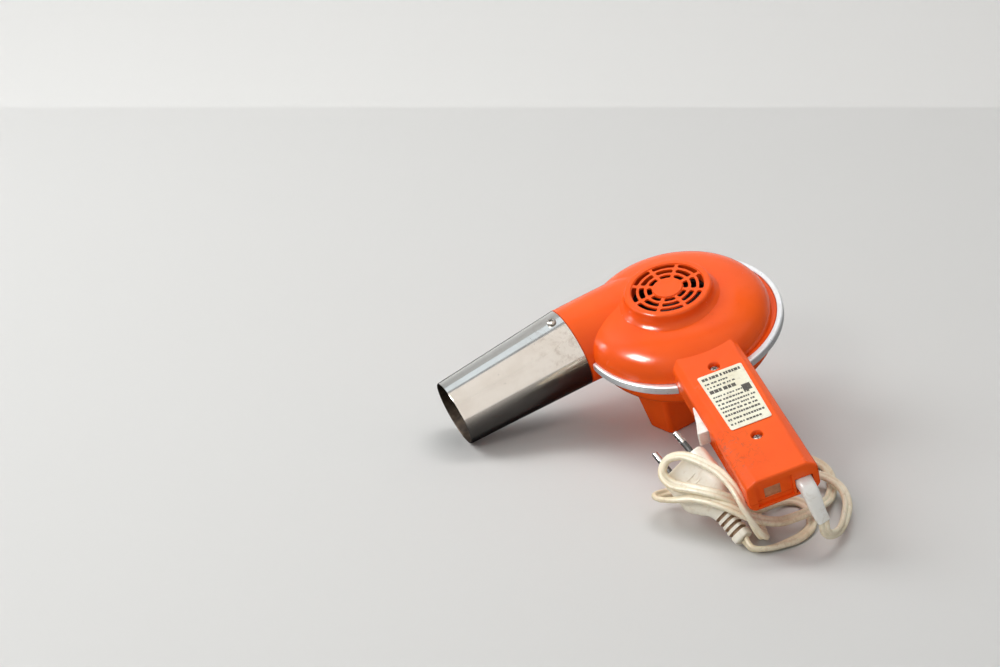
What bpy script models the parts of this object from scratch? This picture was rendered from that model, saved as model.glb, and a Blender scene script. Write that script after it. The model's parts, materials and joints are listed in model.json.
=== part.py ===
"""Hand-held hair dryer: disc casing with a centrifugal fan, chromed outlet tube, flat handle,
side rocker switch and a flat twin cord with a two-pin plug.

Casing frame: origin at the centre of the rim, on the seam plane between the two half shells,
+Z towards the intake grille, -X along the outlet. The handle has its own pair of directions in
the seam plane: "along" runs from the rim centre to the handle's end, "across" runs to its right.
The empty rest_pose turns the casing frame into the pose in which the dryer stands on its foot
and on the lip of its outlet tube, with Z = 0 on the surface under it.
"""
import bpy
import bmesh
from math import cos, pi, radians, sin, sqrt
from mathutils import Euler, Matrix, Vector
from mathutils.geometry import interpolate_bezier

MM = 0.001
GAP = 0.3 * MM                     # clearance between neighbouring pieces
WALL = 2.0 * MM                    # moulded wall

# Casing disc
RIM_OUTER = 68.0 * MM
RIM_INNER = 64.0 * MM
RIM_HALF_HEIGHT = 3.1 * MM
RIM_SHEET = 1.1 * MM
FLANGE_RADIUS = 66.4 * MM
FLANGE_THICK = 1.6 * MM
DOME_RADIUS, DOME_HEIGHT = 63.0 * MM, 25.5 * MM
DOME_X = -2.9 * MM                 # dome axis, towards the outlet
DOME_BORE_RADIUS, DOME_BORE_X = 60.0 * MM, -1.9 * MM
DOME_ROUND_Z, DOME_ROUND_R = 3.0, 3.3
DISH_RADIUS, DISH_DEPTH = 62.0 * MM, 30.0 * MM
DISH_ROUND_Z, DISH_ROUND_R = 3.0, 3.5
DISC_STEPS = 44
HALF_STEP = pi / DISC_STEPS

# Fan axis and intake turret, parallel to the disc axis and off its centre
FAN_X = -4.6 * MM
TURRET_RADIUS, TURRET_TOP = 29.3 * MM, 33.6 * MM
GRILLE_RADIUS = 24.2 * MM
GRILLE_THICK = 2.0 * MM
SPOKE_WIDTH = 1.9 * MM
SLOT_RINGS = ((0.865, 1.00), (0.645, 0.79), (0.43, 0.57))   # inner and outer edge, of GRILLE_RADIUS
HUB_RADIUS = 10.2 * MM

# Outlet neck and tube
OUTLET_START = Vector((-69.5, 28.0, 0.0)) * MM
OUTLET_DROOP = radians(4.0)
OUTLET_RADIUS, TIP_RADIUS, TUBE_LENGTH = 27.5 * MM, 22.7 * MM, 91.0 * MM
TUBE_SHEET = 1.0 * MM
SPIGOT_LENGTH = 13.0 * MM
NOZZLE_SCREW_ALONG = 7.5 * MM
NOZZLE_SCREW_AXIS = Matrix.Translation((0, 0, NOZZLE_SCREW_ALONG)) @ Matrix.Rotation(pi / 2, 4, "Y")

# Handle
HANDLE_ANGLE = radians(-99.5)
HANDLE_OFFSET = -2.0 * MM
HANDLE_END = 184.6 * MM
HANDLE_TOP, HANDLE_BACK = 17.5 * MM, -6.0 * MM
HANDLE_HALF = 23.5 * MM
HANDLE_WALL = 2.2 * MM
END_WALL = 4.0 * MM
SCREW_ALONG = (72.2 * MM, 145.7 * MM)
SCREW_SEAT = 13.4 * MM
LABEL_ALONG = (78.5 * MM, 135.0 * MM)

# Rocker switch on the handle's left wall
ROCKER_ALONG = 107.0 * MM
ROCKER_ACROSS = -21.0 * MM
ROCKER_HALF = 12.6 * MM
ROCKER_LOW, ROCKER_HIGH = 0.4 * MM, 10.6 * MM

# Standing foot: a block turned about the disc axis, its base on the standing surface
FOOT_ANGLE = radians(20.5)
FOOT_NEAR, FOOT_FAR = 44.0 * MM, -8.0 * MM
FOOT_LOW, FOOT_HIGH = -5.0 * MM, 15.0 * MM
FOOT_DRAFT = 0.12

# Motor stack heights along the fan axis
MOTOR_REAR = -26.0 * MM
STATOR_LOW, STATOR_HIGH = -20.0 * MM, -10.0 * MM
BRACKET_THICK = 1.5 * MM
FRONT_BRACKET_LOW = 0.0
MOTOR_SCREW_X = 21.0 * MM

# Cord clamp inside the handle, and the foot's screws
CLAMP_ALONG = 165.0 * MM
CLAMP_ACROSS = (6.4 * MM, 16.4 * MM)
CLAMP_LOW = 6.9 * MM
CORD_ACROSS, CORD_HEIGHT = 11.4 * MM, 3.2 * MM
FOOT_MID = (FOOT_LOW + FOOT_HIGH) / 2
FOOT_SCREWS = (18.0 * MM, 34.0 * MM)

# Strain relief in the handle frame: places on its line, then half width and half height there
RELIEF_PATH = (
    (176.6, 11.4, 3.0), (186.0, 11.4, 2.6), (190.5, 11.8, 0.6), (194.0, 12.3, -4.5), (197.0, 13.1, -12.0),
    (198.8, 14.6, -18.6))
RELIEF_SIZE = ((6.0, 4.6), (5.3, 4.2), (5.2, 3.9), (4.9, 3.5), (4.5, 3.1), (4.1, 2.8))

# Plug: places from the point under the rim centre, then along, half width and half thickness
PLUG_TIPS = Vector((-18.0, -115.8, 42.8)) * MM
PLUG_TAIL = Vector((29.0, -172.0, 6.0)) * MM
PLUG_ACROSS = Vector((23.1, 1.6, 25.6))
PIN_SPACING = 19.0 * MM
PIN_LENGTH = 19.0 * MM
PLUG_SECTIONS = (
    (19.0, 15.6, 5.4), (20.4, 17.0, 6.8), (42.0, 17.0, 6.8), (51.0, 12.0, 6.4), (60.0, 6.2, 5.3),
    (80.6, 5.8, 4.9), (81.6, 5.0, 4.2))
CORD_RADIUS = 2.2 * MM

# The free cord lies in a loose bundle around the handle's end: places from the point under the rim
# centre and heights over the standing surface, from the strain relief to the plug
CORD_ROUTE = (
    (77, -181, 16.7), (82, -176.5, 12.2), (88, -166, 9.5), (93, -151, 8.5), (97, -131, 8), (95, -113, 9),
    (86, -99, 9), (70, -94, 9), (52, -98, 9), (35, -105, 9), (18, -112, 9), (2, -117, 10),
    (-13, -123, 11), (-22, -131, 13), (-22, -142, 17), (-13, -150, 21), (-2, -155, 25), (9, -161, 26),
    (20, -167, 25), (31, -170, 21), (42, -165, 15), (52, -159, 11), (62, -152, 10), (72, -145, 10),
    (81, -134, 9), (87, -120, 4.5), (91, -104, 2.6), (92, -88, 2.6), (89, -74, 2.6), (80, -64, 2.6),
    (68, -63, 2.6), (56, -72, 2.6), (47, -88, 2.6), (42, -108, 2.6), (40, -127, 2.6), (40, -144, 2.8),
    (41, -159, 3.5), (41, -171, 7), (38, -179, 13), (32.5, -181, 22), (27, -178, 31), (23.5, -172, 37),
    (19, -164, 41), (12, -154, 44), (2, -146, 46), (-8, -139, 46), (-17, -135, 41), (-20, -138, 33),
    (-14, -145, 29), (-4, -151, 30), (6, -157, 31), (16, -161, 30), (26, -161, 25), (35, -155, 18),
    (42, -144, 12), (48, -131, 6.5), (57, -121, 3.2), (67, -120, 2.6), (73, -128, 2.6), (74, -141, 2.6),
    (71, -154, 2.6), (63, -165, 2.6), (52, -173, 2.6), (42, -177.5, 2.6), (33.5, -177.8, 3))

# Pose on the standing surface
REST_TURN = Euler((radians(7.0), radians(-16.7), radians(24.3)))
REST_PLACE = Vector((41.73, 58.49)) * MM


# ---------------------------------------------------------------- scene and helpers
for old in list(bpy.data.objects):
    bpy.data.objects.remove(old)
PARTS = bpy.data.collections.new("hair_dryer")
CUTTERS = bpy.data.collections.new("cutters")
bpy.context.scene.collection.children.link(PARTS)
bpy.context.scene.collection.children.link(CUTTERS)


def material(name, colour, roughness, metallic=0.0):
    made = bpy.data.materials.new(name)
    made.use_nodes = True
    shader = made.node_tree.nodes["Principled BSDF"]
    shader.inputs["Base Color"].default_value = (*colour, 1.0)
    shader.inputs["Roughness"].default_value = roughness
    shader.inputs["Metallic"].default_value = metallic
    return made


ORANGE = ((0.95, 0.16, 0.02), 0.25, 0.0)
CHROME = ((0.80, 0.80, 0.80), 0.12, 1.0)
STEEL = ((0.55, 0.55, 0.56), 0.35, 1.0)
BRASS = ((0.78, 0.58, 0.22), 0.35, 1.0)
COPPER = ((0.72, 0.33, 0.16), 0.4, 1.0)
IRON = ((0.20, 0.20, 0.21), 0.5, 0.8)
CREAM = ((0.80, 0.73, 0.58), 0.45, 0.0)
WHITE = ((0.85, 0.82, 0.76), 0.4, 0.0)
MICA = ((0.55, 0.47, 0.33), 0.5, 0.0)
BLACK = ((0.03, 0.03, 0.03), 0.5, 0.0)
PAPER = ((0.78, 0.74, 0.60), 0.6, 0.0)
CARBON = ((0.05, 0.05, 0.05), 0.6, 0.2)


def place(name, mesh, look=None, parent=None):
    """Link a mesh as a named part, or as a hidden cutter when it has no look."""
    made = bpy.data.objects.new(name, mesh)
    if look is None:
        CUTTERS.objects.link(made)
        made.hide_render = True
        made.display_type = "WIRE"
    else:
        PARTS.objects.link(made)
        mesh.materials.append(material(name, *look))
    made.parent = parent
    return made


def mesh_from(bm, name, smooth=False):
    mesh = bpy.data.meshes.new(name)
    bm.to_mesh(mesh)
    bm.free()
    if smooth:
        mesh.shade_smooth()
        mesh.set_sharp_from_angle(angle=radians(35))
    return mesh


def box(name, low, high, look=None, parent=None, matrix=None, bevel=0.0):
    """Axis-aligned box between two corners, optionally carried into place by a matrix."""
    bm = bmesh.new()
    bmesh.ops.create_cube(bm, size=1.0)
    low, high = Vector(low), Vector(high)
    for vertex in bm.verts:
        vertex.co = Vector([(low[i] + high[i]) / 2 + vertex.co[i] * (high[i] - low[i]) for i in range(3)])
    if bevel:
        bmesh.ops.bevel(bm, geom=bm.edges[:], offset=bevel, segments=1, affect="EDGES")
    if matrix:
        bm.transform(matrix)
    return place(name, mesh_from(bm, name), look, parent)


def cylinder(name, radius, low, high, look=None, parent=None, at=(0, 0), steps=24, radius_high=None,
             matrix=None):
    """Cylinder or cone along Z, from low to high."""
    bm = bmesh.new()
    bmesh.ops.create_cone(bm, cap_ends=True, segments=steps, radius1=radius,
                          radius2=radius if radius_high is None else radius_high, depth=high - low)
    bmesh.ops.translate(bm, verts=bm.verts, vec=(at[0], at[1], (low + high) / 2))
    if matrix:
        bm.transform(matrix)
    return place(name, mesh_from(bm, name, smooth=True), look, parent)


def turned(name, profile, look=None, parent=None, at=(0, 0), steps=32, closed=False, twist=0.0):
    """Profile of (radius, height) points, top to bottom on its outer side, turned about Z."""
    bm = bmesh.new()
    corners = [bm.verts.new((radius, 0.0, height)) for radius, height in profile]
    for first, second in zip(corners, corners[1:]):
        bm.edges.new((first, second))
    if closed:
        bm.edges.new((corners[-1], corners[0]))
    made = place(name, mesh_from(bm, name), look, parent)
    made.location = (at[0], at[1], 0.0)
    made.rotation_euler = (0.0, 0.0, twist)
    screw = made.modifiers.new("turn", "SCREW")
    screw.axis = "Z"
    screw.angle = 2 * pi
    screw.steps = screw.render_steps = steps
    screw.use_merge_vertices = True
    screw.merge_threshold = 0.00001
    screw.use_smooth_shade = True
    return made


def loft(name, sections, look=None, parent=None, matrix=None, smooth=True):
    """Closed solid through loops of equal point count, capped at both ends."""
    bm = bmesh.new()
    loops = [[bm.verts.new(point) for point in section] for section in sections]
    count = len(loops[0])
    for first, second in zip(loops, loops[1:]):
        for i in range(count):
            bm.faces.new((first[i], first[(i + 1) % count], second[(i + 1) % count], second[i]))
    bm.faces.new(loops[0])
    bm.faces.new(loops[-1])
    if matrix:
        bm.transform(matrix)
    bmesh.ops.recalc_face_normals(bm, faces=bm.faces)
    return place(name, mesh_from(bm, name, smooth), look, parent)


def outline(name, points, low, high, look=None, parent=None, matrix=None):
    """Flat outline of (x, y) points as a filled 2D curve, extruded from low to high."""
    curve = bpy.data.curves.new(name, "CURVE")
    curve.dimensions = "2D"
    curve.fill_mode = "BOTH"
    curve.extrude = (high - low) / 2
    spline = curve.splines.new("POLY")
    spline.points.add(len(points) - 1)
    for target, (x, y) in zip(spline.points, points):
        target.co = (x, y, 0.0, 1.0)
    spline.use_cyclic_u = True
    shift = Matrix.Translation((0, 0, (low + high) / 2))
    return curve_to_mesh(name, curve, look, parent, (matrix or Matrix()) @ shift)


def curve_to_mesh(name, curve, look, parent, matrix):
    """Evaluate a curve, weld its caps and place it as a closed mesh."""
    source = bpy.data.objects.new(name + "_curve", curve)
    CUTTERS.objects.link(source)
    bpy.context.view_layer.update()
    evaluated = source.evaluated_get(bpy.context.evaluated_depsgraph_get())
    mesh = bpy.data.meshes.new_from_object(evaluated)
    bm = bmesh.new()
    bm.from_mesh(mesh)
    bmesh.ops.remove_doubles(bm, verts=bm.verts, dist=0.000001)
    bm.transform(matrix)
    if bm.calc_volume(signed=True) < 0:
        bmesh.ops.reverse_faces(bm, faces=bm.faces)
    bpy.data.objects.remove(source)
    return place(name, mesh_from(bm, name, smooth=True), look, parent)


def wire(name, points, radius, look, parent=None, resolution=2):
    """Round wire or cord along a list of points, with filled ends."""
    curve = bpy.data.curves.new(name, "CURVE")
    curve.dimensions = "3D"
    curve.bevel_depth = radius
    curve.bevel_resolution = resolution
    curve.use_fill_caps = True
    spline = curve.splines.new("POLY")
    spline.points.add(len(points) - 1)
    for target, point in zip(spline.points, points):
        target.co = (*point, 1.0)
    made = bpy.data.objects.new(name, curve)
    curve.materials.append(material(name, *look))
    PARTS.objects.link(made)
    made.parent = parent
    return made


def boolean(target, tool, operation):
    step = target.modifiers.new(operation.lower(), "BOOLEAN")
    step.operation = operation
    step.object = tool
    return target


def cut(target, *tools):
    for tool in tools:
        boolean(target, tool, "DIFFERENCE")
    return target


def add(target, *tools):
    for tool in tools:
        boolean(target, tool, "UNION")
    return target


def smooth_path(points, per_span):
    """Points along a smooth curve through the route's own points (cardinal spline)."""
    points = [Vector(point) for point in points]
    padded = [2 * points[0] - points[1]] + points + [2 * points[-1] - points[-2]]
    path = []
    for before, start, end, after in zip(padded, padded[1:], padded[2:], padded[3:]):
        path += interpolate_bezier(start, start + (end - before) / 6, end - (after - start) / 6, end,
                                   per_span + 1)[:-1]
    return path + [points[-1]]


def super_profile(radius, height, round_z, round_r, steps, foot=0.0):
    """Quarter of a rounded dome section, from its top centre out to its side, down to foot."""
    points = []
    for i in range(steps + 1):
        turn = pi / 2 * (1 - i / steps)
        point = (radius * cos(turn) ** (2 / round_r), height * sin(turn) ** (2 / round_z))
        if point[1] > foot:
            points.append(point)
    points[0] = (0.0, height)
    return points


def ellipse(centre, half_y, half_z, tilt, steps=32):
    """Loop in the plane across the outlet, tilted about Y."""
    loop = []
    for i in range(steps):
        turn = 2 * pi * i / steps
        rise = half_z * sin(turn)
        loop.append((centre[0] - rise * sin(tilt), centre[1] + half_y * cos(turn),
                     centre[2] + rise * cos(tilt)))
    return loop


# ---------------------------------------------------------------- frames
outlet_axis_direction = Vector((-cos(OUTLET_DROOP), 0.0, -sin(OUTLET_DROOP)))
up_direction = REST_TURN.to_matrix().inverted() @ Vector((0, 0, 1))
tip_centre = OUTLET_START + outlet_axis_direction * TUBE_LENGTH
lean = up_direction.dot(outlet_axis_direction)
REST_HEIGHT = TIP_RADIUS * sqrt(1 - lean * lean) - up_direction.dot(tip_centre)

rest = bpy.data.objects.new("rest_pose", None)
rest.location = (REST_PLACE.x, REST_PLACE.y, REST_HEIGHT)
rest.rotation_euler = REST_TURN
PARTS.objects.link(rest)

outlet = bpy.data.objects.new("outlet_axis", None)
outlet.location = OUTLET_START
outlet.rotation_euler = (0.0, -pi / 2 - OUTLET_DROOP, 0.0)
outlet.parent = rest
PARTS.objects.link(outlet)

fan_axis = bpy.data.objects.new("fan_axis", None)
fan_axis.location = (FAN_X, 0.0, 0.0)
fan_axis.parent = rest
PARTS.objects.link(fan_axis)

# Columns: along, across, up. Across points to the handle's right.
HANDLE = Matrix(((cos(HANDLE_ANGLE), -sin(HANDLE_ANGLE), 0, 0),
                       (sin(HANDLE_ANGLE), cos(HANDLE_ANGLE), 0, 0),
                       (0, 0, 1, 0), (0, 0, 0, 1)))
FOOT = Matrix(((-cos(FOOT_ANGLE), sin(FOOT_ANGLE), 0, 0),
                     (-sin(FOOT_ANGLE), -cos(FOOT_ANGLE), 0, 0),
                     (0, 0, 1, 0), (0, 0, 0, 1)))
OUTLET = Matrix.Translation(OUTLET_START) @ Euler((0.0, -pi / 2 - OUTLET_DROOP, 0.0)).to_matrix().to_4x4()


def tube_radius(along):
    """Outer radius of the outlet tube at a distance from its body end."""
    return OUTLET_RADIUS + (TIP_RADIUS - OUTLET_RADIUS) * along / TUBE_LENGTH


# ---------------------------------------------------------------- casing shells
def neck_solid(name, inset, start_x):
    """Outlet neck between the disc and the tube's body end."""
    stations = ((start_x, 31.0, 24.0), (-20.0 * MM, 31.0, 25.3), (-45.0 * MM, 29.4, 26.6))
    sections = []
    for x, half_y, half_z in stations:
        sections.append(ellipse((x, OUTLET_START.y, 0.0), half_y * MM - inset, half_z * MM - inset, 0.0))
    end = OUTLET_START + outlet_axis_direction * (1.0 * MM if inset else 0.0)
    sections.append(ellipse(end, OUTLET_RADIUS - inset, OUTLET_RADIUS - inset, OUTLET_DROOP))
    return loft(name, sections, parent=rest)


def spigot_solid(name, inset, start, length):
    """Tapered plug shape that fits the tube's bore."""
    clearance = TUBE_SHEET + 1.3 * GAP
    return cylinder(name, tube_radius(start) - clearance - inset, start, length, parent=rest, steps=32,
                    radius_high=tube_radius(length) - clearance - inset,
                    matrix=OUTLET @ Matrix.Rotation(radians(2.0 if inset else 3.5), 4, "Z"))


def handle_solid(name, inset, start, end):
    """Handle body: flat face, wide bevels on the face side, narrow ones on the back."""
    sections = []
    stations = ((start, 0.0), (end, 0.0))
    if inset == 0:
        stations = ((start, 0.0), (end - 1.6 * MM, 0.0), (end, 1.6 * MM))
    for along, shrink in stations:
        share = min(max((along - 50 * MM) / (HANDLE_END - 50 * MM), 0.0), 1.0)
        face_half = (19.3 - 2.7 * share) * MM
        back_half = HANDLE_HALF - 3.5 * MM
        side_half = HANDLE_HALF
        trim = inset + shrink
        top, back = HANDLE_TOP - trim, HANDLE_BACK + trim
        shoulder, heel = 13.0 * MM - trim * 0.6, -2.5 * MM + trim * 0.6
        half_section = ((face_half - trim * 0.5, top), (side_half - trim, shoulder),
                        (side_half - trim, heel), (back_half - trim * 0.5, back))
        right = [(along, HANDLE_OFFSET + across, height) for across, height in half_section]
        left = [(along, HANDLE_OFFSET - across, height) for across, height in reversed(half_section)]
        sections.append(right + left)
    return loft(name, sections, parent=rest, matrix=HANDLE, smooth=False)


def seam_block(name, low, high):
    """Block that removes everything on one side of the seam."""
    return box(name, (-0.3, -0.3, low), (0.3, 0.3, high), parent=rest)


def dome_profile(radius, height, foot):
    """Dome section down to a flat foot."""
    dome = super_profile(radius, height, DOME_ROUND_Z, DOME_ROUND_R, 11, 4.0 * MM)
    return dome + [(radius, foot), (0.0, foot)]


def flange_profile():
    """Flat rim flange with a low step inside the trim band."""
    return [(0.0, 3.0 * MM), (RIM_INNER - GAP, 3.0 * MM), (RIM_INNER - GAP, FLANGE_THICK),
            (FLANGE_RADIUS, FLANGE_THICK), (FLANGE_RADIUS, -1.0 * MM), (0.0, -1.0 * MM)]


def rear_profile(inset):
    """Dish section below the seam; heights run upwards here and are mirrored by the caller."""
    dish = super_profile(DISH_RADIUS - inset, DISH_DEPTH - inset, DISH_ROUND_Z, DISH_ROUND_R, 10, 4.0 * MM)
    if inset > 0:
        return dish + [(DISH_RADIUS - inset, -2.0 * MM), (0.0, -2.0 * MM)]
    return dish + [(DISH_RADIUS - inset, FLANGE_THICK), (FLANGE_RADIUS - inset, FLANGE_THICK),
                   (FLANGE_RADIUS - inset, -1.0 * MM), (0.0, -1.0 * MM)]


def mirrored(profile):
    """Turn a section upside down, kept top to bottom on its outer side."""
    return [(radius, -height) for radius, height in reversed(profile)]


def handle_openings():
    """Cutters for the recess and pocket in the handle's end, the cord exit and the switch opening."""
    window = box("cut_window", (HANDLE_END - 2.8 * MM, -14.0 * MM, 0.9 * MM),
                 (HANDLE_END + 2 * MM, -3.5 * MM, 8.5 * MM), parent=rest, matrix=HANDLE)
    recess = box("cut_recess", (HANDLE_END - 1.8 * MM, -19.5 * MM, -3.5 * MM),
                 (HANDLE_END + 2 * MM, 4.0 * MM, 13.0 * MM), parent=rest, matrix=HANDLE)
    exit_slot = box("cut_cord_exit", (HANDLE_END - 8 * MM, 5.6 * MM, -2.9 * MM),
                    (HANDLE_END + 2 * MM, 17.2 * MM, 7.7 * MM), parent=rest, matrix=HANDLE)
    switch = box("cut_switch", (ROCKER_ALONG - ROCKER_HALF - 0.6 * MM, -30 * MM, -0.5 * MM),
                 (ROCKER_ALONG + ROCKER_HALF + 1.9 * MM, -22 * MM, ROCKER_HIGH + GAP),
                 parent=rest, matrix=HANDLE)
    return window, recess, exit_slot, switch


def grille_cutter():
    """Three rings of slots, broken by spokes."""
    rings = None
    for number, (inner, outer) in enumerate(SLOT_RINGS):
        near, far = inner * GRILLE_RADIUS, outer * GRILLE_RADIUS
        low, high = TURRET_TOP - 6 * MM, TURRET_TOP + 2 * MM
        ring = turned(f"cut_slot_ring_{number}", [(far, high), (far, low), (near, low), (near, high)],
                      parent=rest, at=(FAN_X, 0), steps=32, closed=True)
        rings = ring if rings is None else add(rings, ring)
    for number in range(4):
        turn = Matrix.Translation((FAN_X, 0, 0)) @ Matrix.Rotation(number * pi / 4, 4, "Z")
        spoke = box(f"cut_spoke_{number}", (-30 * MM, -SPOKE_WIDTH / 2, 20 * MM),
                    (30 * MM, SPOKE_WIDTH / 2, 40 * MM), parent=rest, matrix=turn)
        cut(rings, spoke)
    return rings


def front_shell():
    shell = turned("front_shell", dome_profile(DOME_RADIUS, DOME_HEIGHT, -1.0 * MM), ORANGE, rest,
                   at=(DOME_X, 0), steps=DISC_STEPS)
    low, high = -2.0 * MM, RIM_HALF_HEIGHT + GAP
    inner, outer = RIM_INNER - GAP, 80 * MM
    band_room = turned("cut_band_room", [(outer, high), (outer, low), (inner, low), (inner, high)],
                       parent=rest, steps=DISC_STEPS, closed=True)
    flange = turned("join_flange", flange_profile(), parent=rest, steps=DISC_STEPS, twist=HALF_STEP)
    add(cut(shell, band_room), flange)
    turret = turned("join_turret", [
        (0.0, TURRET_TOP), (HUB_RADIUS, TURRET_TOP), (TURRET_RADIUS - 1.6 * MM, TURRET_TOP),
        (TURRET_RADIUS - 0.4 * MM, TURRET_TOP - 0.6 * MM), (TURRET_RADIUS, TURRET_TOP - 2.0 * MM),
        (TURRET_RADIUS + 0.7 * MM, DOME_HEIGHT + 2.0 * MM),
        (TURRET_RADIUS + 3.2 * MM, DOME_HEIGHT - 0.4 * MM),
        (TURRET_RADIUS + 4.0 * MM, DOME_HEIGHT - 4 * MM), (0.0, DOME_HEIGHT - 4 * MM)],
        parent=rest, at=(FAN_X, 0), steps=32)
    add(shell, turret, neck_solid("join_neck", 0.0, -2 * MM),
        spigot_solid("join_spigot", 0.0, -4 * MM, SPIGOT_LENGTH),
        handle_solid("join_handle", 0.0, 40 * MM, HANDLE_END))
    turret_bore = cylinder("cut_turret", GRILLE_RADIUS + 1.4 * MM, DOME_HEIGHT - 8 * MM,
                           TURRET_TOP - GRILLE_THICK, parent=rest, at=(FAN_X, 0), steps=32)
    dome_bore = turned("cut_dome", dome_profile(DOME_BORE_RADIUS, DOME_HEIGHT - WALL, -2.0 * MM),
                       parent=rest, at=(DOME_BORE_X, 0), steps=DISC_STEPS, twist=HALF_STEP / 2)
    cut(shell, dome_bore, turret_bore, neck_solid("cut_neck", WALL, -4 * MM),
        spigot_solid("cut_spigot", WALL, -6 * MM, SPIGOT_LENGTH + 3 * MM),
        handle_solid("cut_handle", HANDLE_WALL, 46 * MM, HANDLE_END - END_WALL))
    for number, along in enumerate(SCREW_ALONG):
        post = cylinder(f"join_post_{number}", 5.2 * MM, 0.0, HANDLE_TOP - 1 * MM, parent=rest,
                        at=(along, HANDLE_OFFSET), steps=20, matrix=HANDLE)
        sink = cylinder(f"cut_sink_{number}", 3.6 * MM, SCREW_SEAT, HANDLE_TOP + 2 * MM, parent=rest,
                        at=(along, HANDLE_OFFSET), steps=20, matrix=HANDLE)
        hole = cylinder(f"cut_hole_{number}", 1.9 * MM, -2 * MM, SCREW_SEAT + MM, parent=rest,
                        at=(along, HANDLE_OFFSET), steps=16, matrix=HANDLE)
        add(shell, post)
        cut(shell, sink, hole)
    cut(shell, *handle_openings(), grille_cutter(), seam_block("cut_below_seam", -0.2, GAP / 2))
    return cut(shell, cylinder("cut_nozzle_screw_top", 1.8 * MM, 20 * MM, 32 * MM, parent=rest, steps=12,
                               matrix=OUTLET @ NOZZLE_SCREW_AXIS))


def rear_shell():
    shell = turned("rear_shell", mirrored(rear_profile(0.0)), ORANGE, rest, steps=DISC_STEPS)
    add(shell, neck_solid("join_neck_rear", 0.0, -2 * MM),
        spigot_solid("join_spigot_rear", 0.0, -4 * MM, SPIGOT_LENGTH),
        handle_solid("join_handle_rear", 0.0, 50 * MM, HANDLE_END))
    dish_bore = turned("cut_dish", mirrored(rear_profile(WALL)), parent=rest, steps=DISC_STEPS,
                       twist=HALF_STEP)
    cut(shell, dish_bore, neck_solid("cut_neck_rear", WALL, -4 * MM),
        spigot_solid("cut_spigot_rear", WALL, -6 * MM, SPIGOT_LENGTH + 3 * MM),
        handle_solid("cut_handle_rear", HANDLE_WALL, 52 * MM, HANDLE_END - END_WALL))
    for number, along in enumerate(SCREW_ALONG):
        post = cylinder(f"join_rear_post_{number}", 4.5 * MM, HANDLE_BACK + 1 * MM, 2 * MM, parent=rest,
                        at=(along, HANDLE_OFFSET), steps=20, matrix=HANDLE)
        hole = cylinder(f"cut_rear_hole_{number}", 1.8 * MM, HANDLE_BACK + 1.2 * MM, 3 * MM, parent=rest,
                        at=(along, HANDLE_OFFSET), steps=16, matrix=HANDLE)
        add(shell, post)
        cut(shell, hole)
    for number, side in enumerate((-1, 1)):
        post = cylinder(f"join_motor_post_{number}", 4.2 * MM, -29.0 * MM, MOTOR_REAR - GAP, parent=rest,
                        at=(FAN_X + side * MOTOR_SCREW_X, 0), steps=20)
        hole = cylinder(f"cut_motor_post_{number}", 1.8 * MM, -29.0 * MM, MOTOR_REAR + 2 * MM, parent=rest,
                        at=(FAN_X + side * MOTOR_SCREW_X, 0), steps=12)
        add(shell, post)
        cut(shell, hole)
    clamp_posts = []
    for number, across in enumerate(CLAMP_ACROSS):
        post = cylinder(f"join_clamp_post_{number}", 2.2 * MM, HANDLE_BACK + 1 * MM, CLAMP_LOW - GAP,
                        parent=rest, at=(CLAMP_ALONG, across), steps=16, matrix=HANDLE)
        hole = cylinder(f"cut_clamp_post_{number}", 1.2 * MM, HANDLE_BACK + 2 * MM, CLAMP_LOW + 2 * MM,
                        parent=rest, at=(CLAMP_ALONG, across), steps=12, matrix=HANDLE)
        clamp_posts.append((post, hole))
    for number, near in enumerate(FOOT_SCREWS):
        hole = cylinder(f"cut_foot_screw_{number}", 1.9 * MM, -34 * MM, -22 * MM, parent=rest,
                        at=(near, FOOT_MID), steps=12, matrix=FOOT)
        cut(shell, hole)
    cut(shell, *handle_openings(), seam_block("cut_above_seam", -GAP / 2, 0.2))
    cut(shell, cylinder("cut_nozzle_screw_back", 1.8 * MM, -32 * MM, -20 * MM, parent=rest, steps=12,
                        matrix=OUTLET @ NOZZLE_SCREW_AXIS))
    for post, hole in clamp_posts:
        add(shell, post)
        cut(shell, hole)
    return shell


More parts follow.
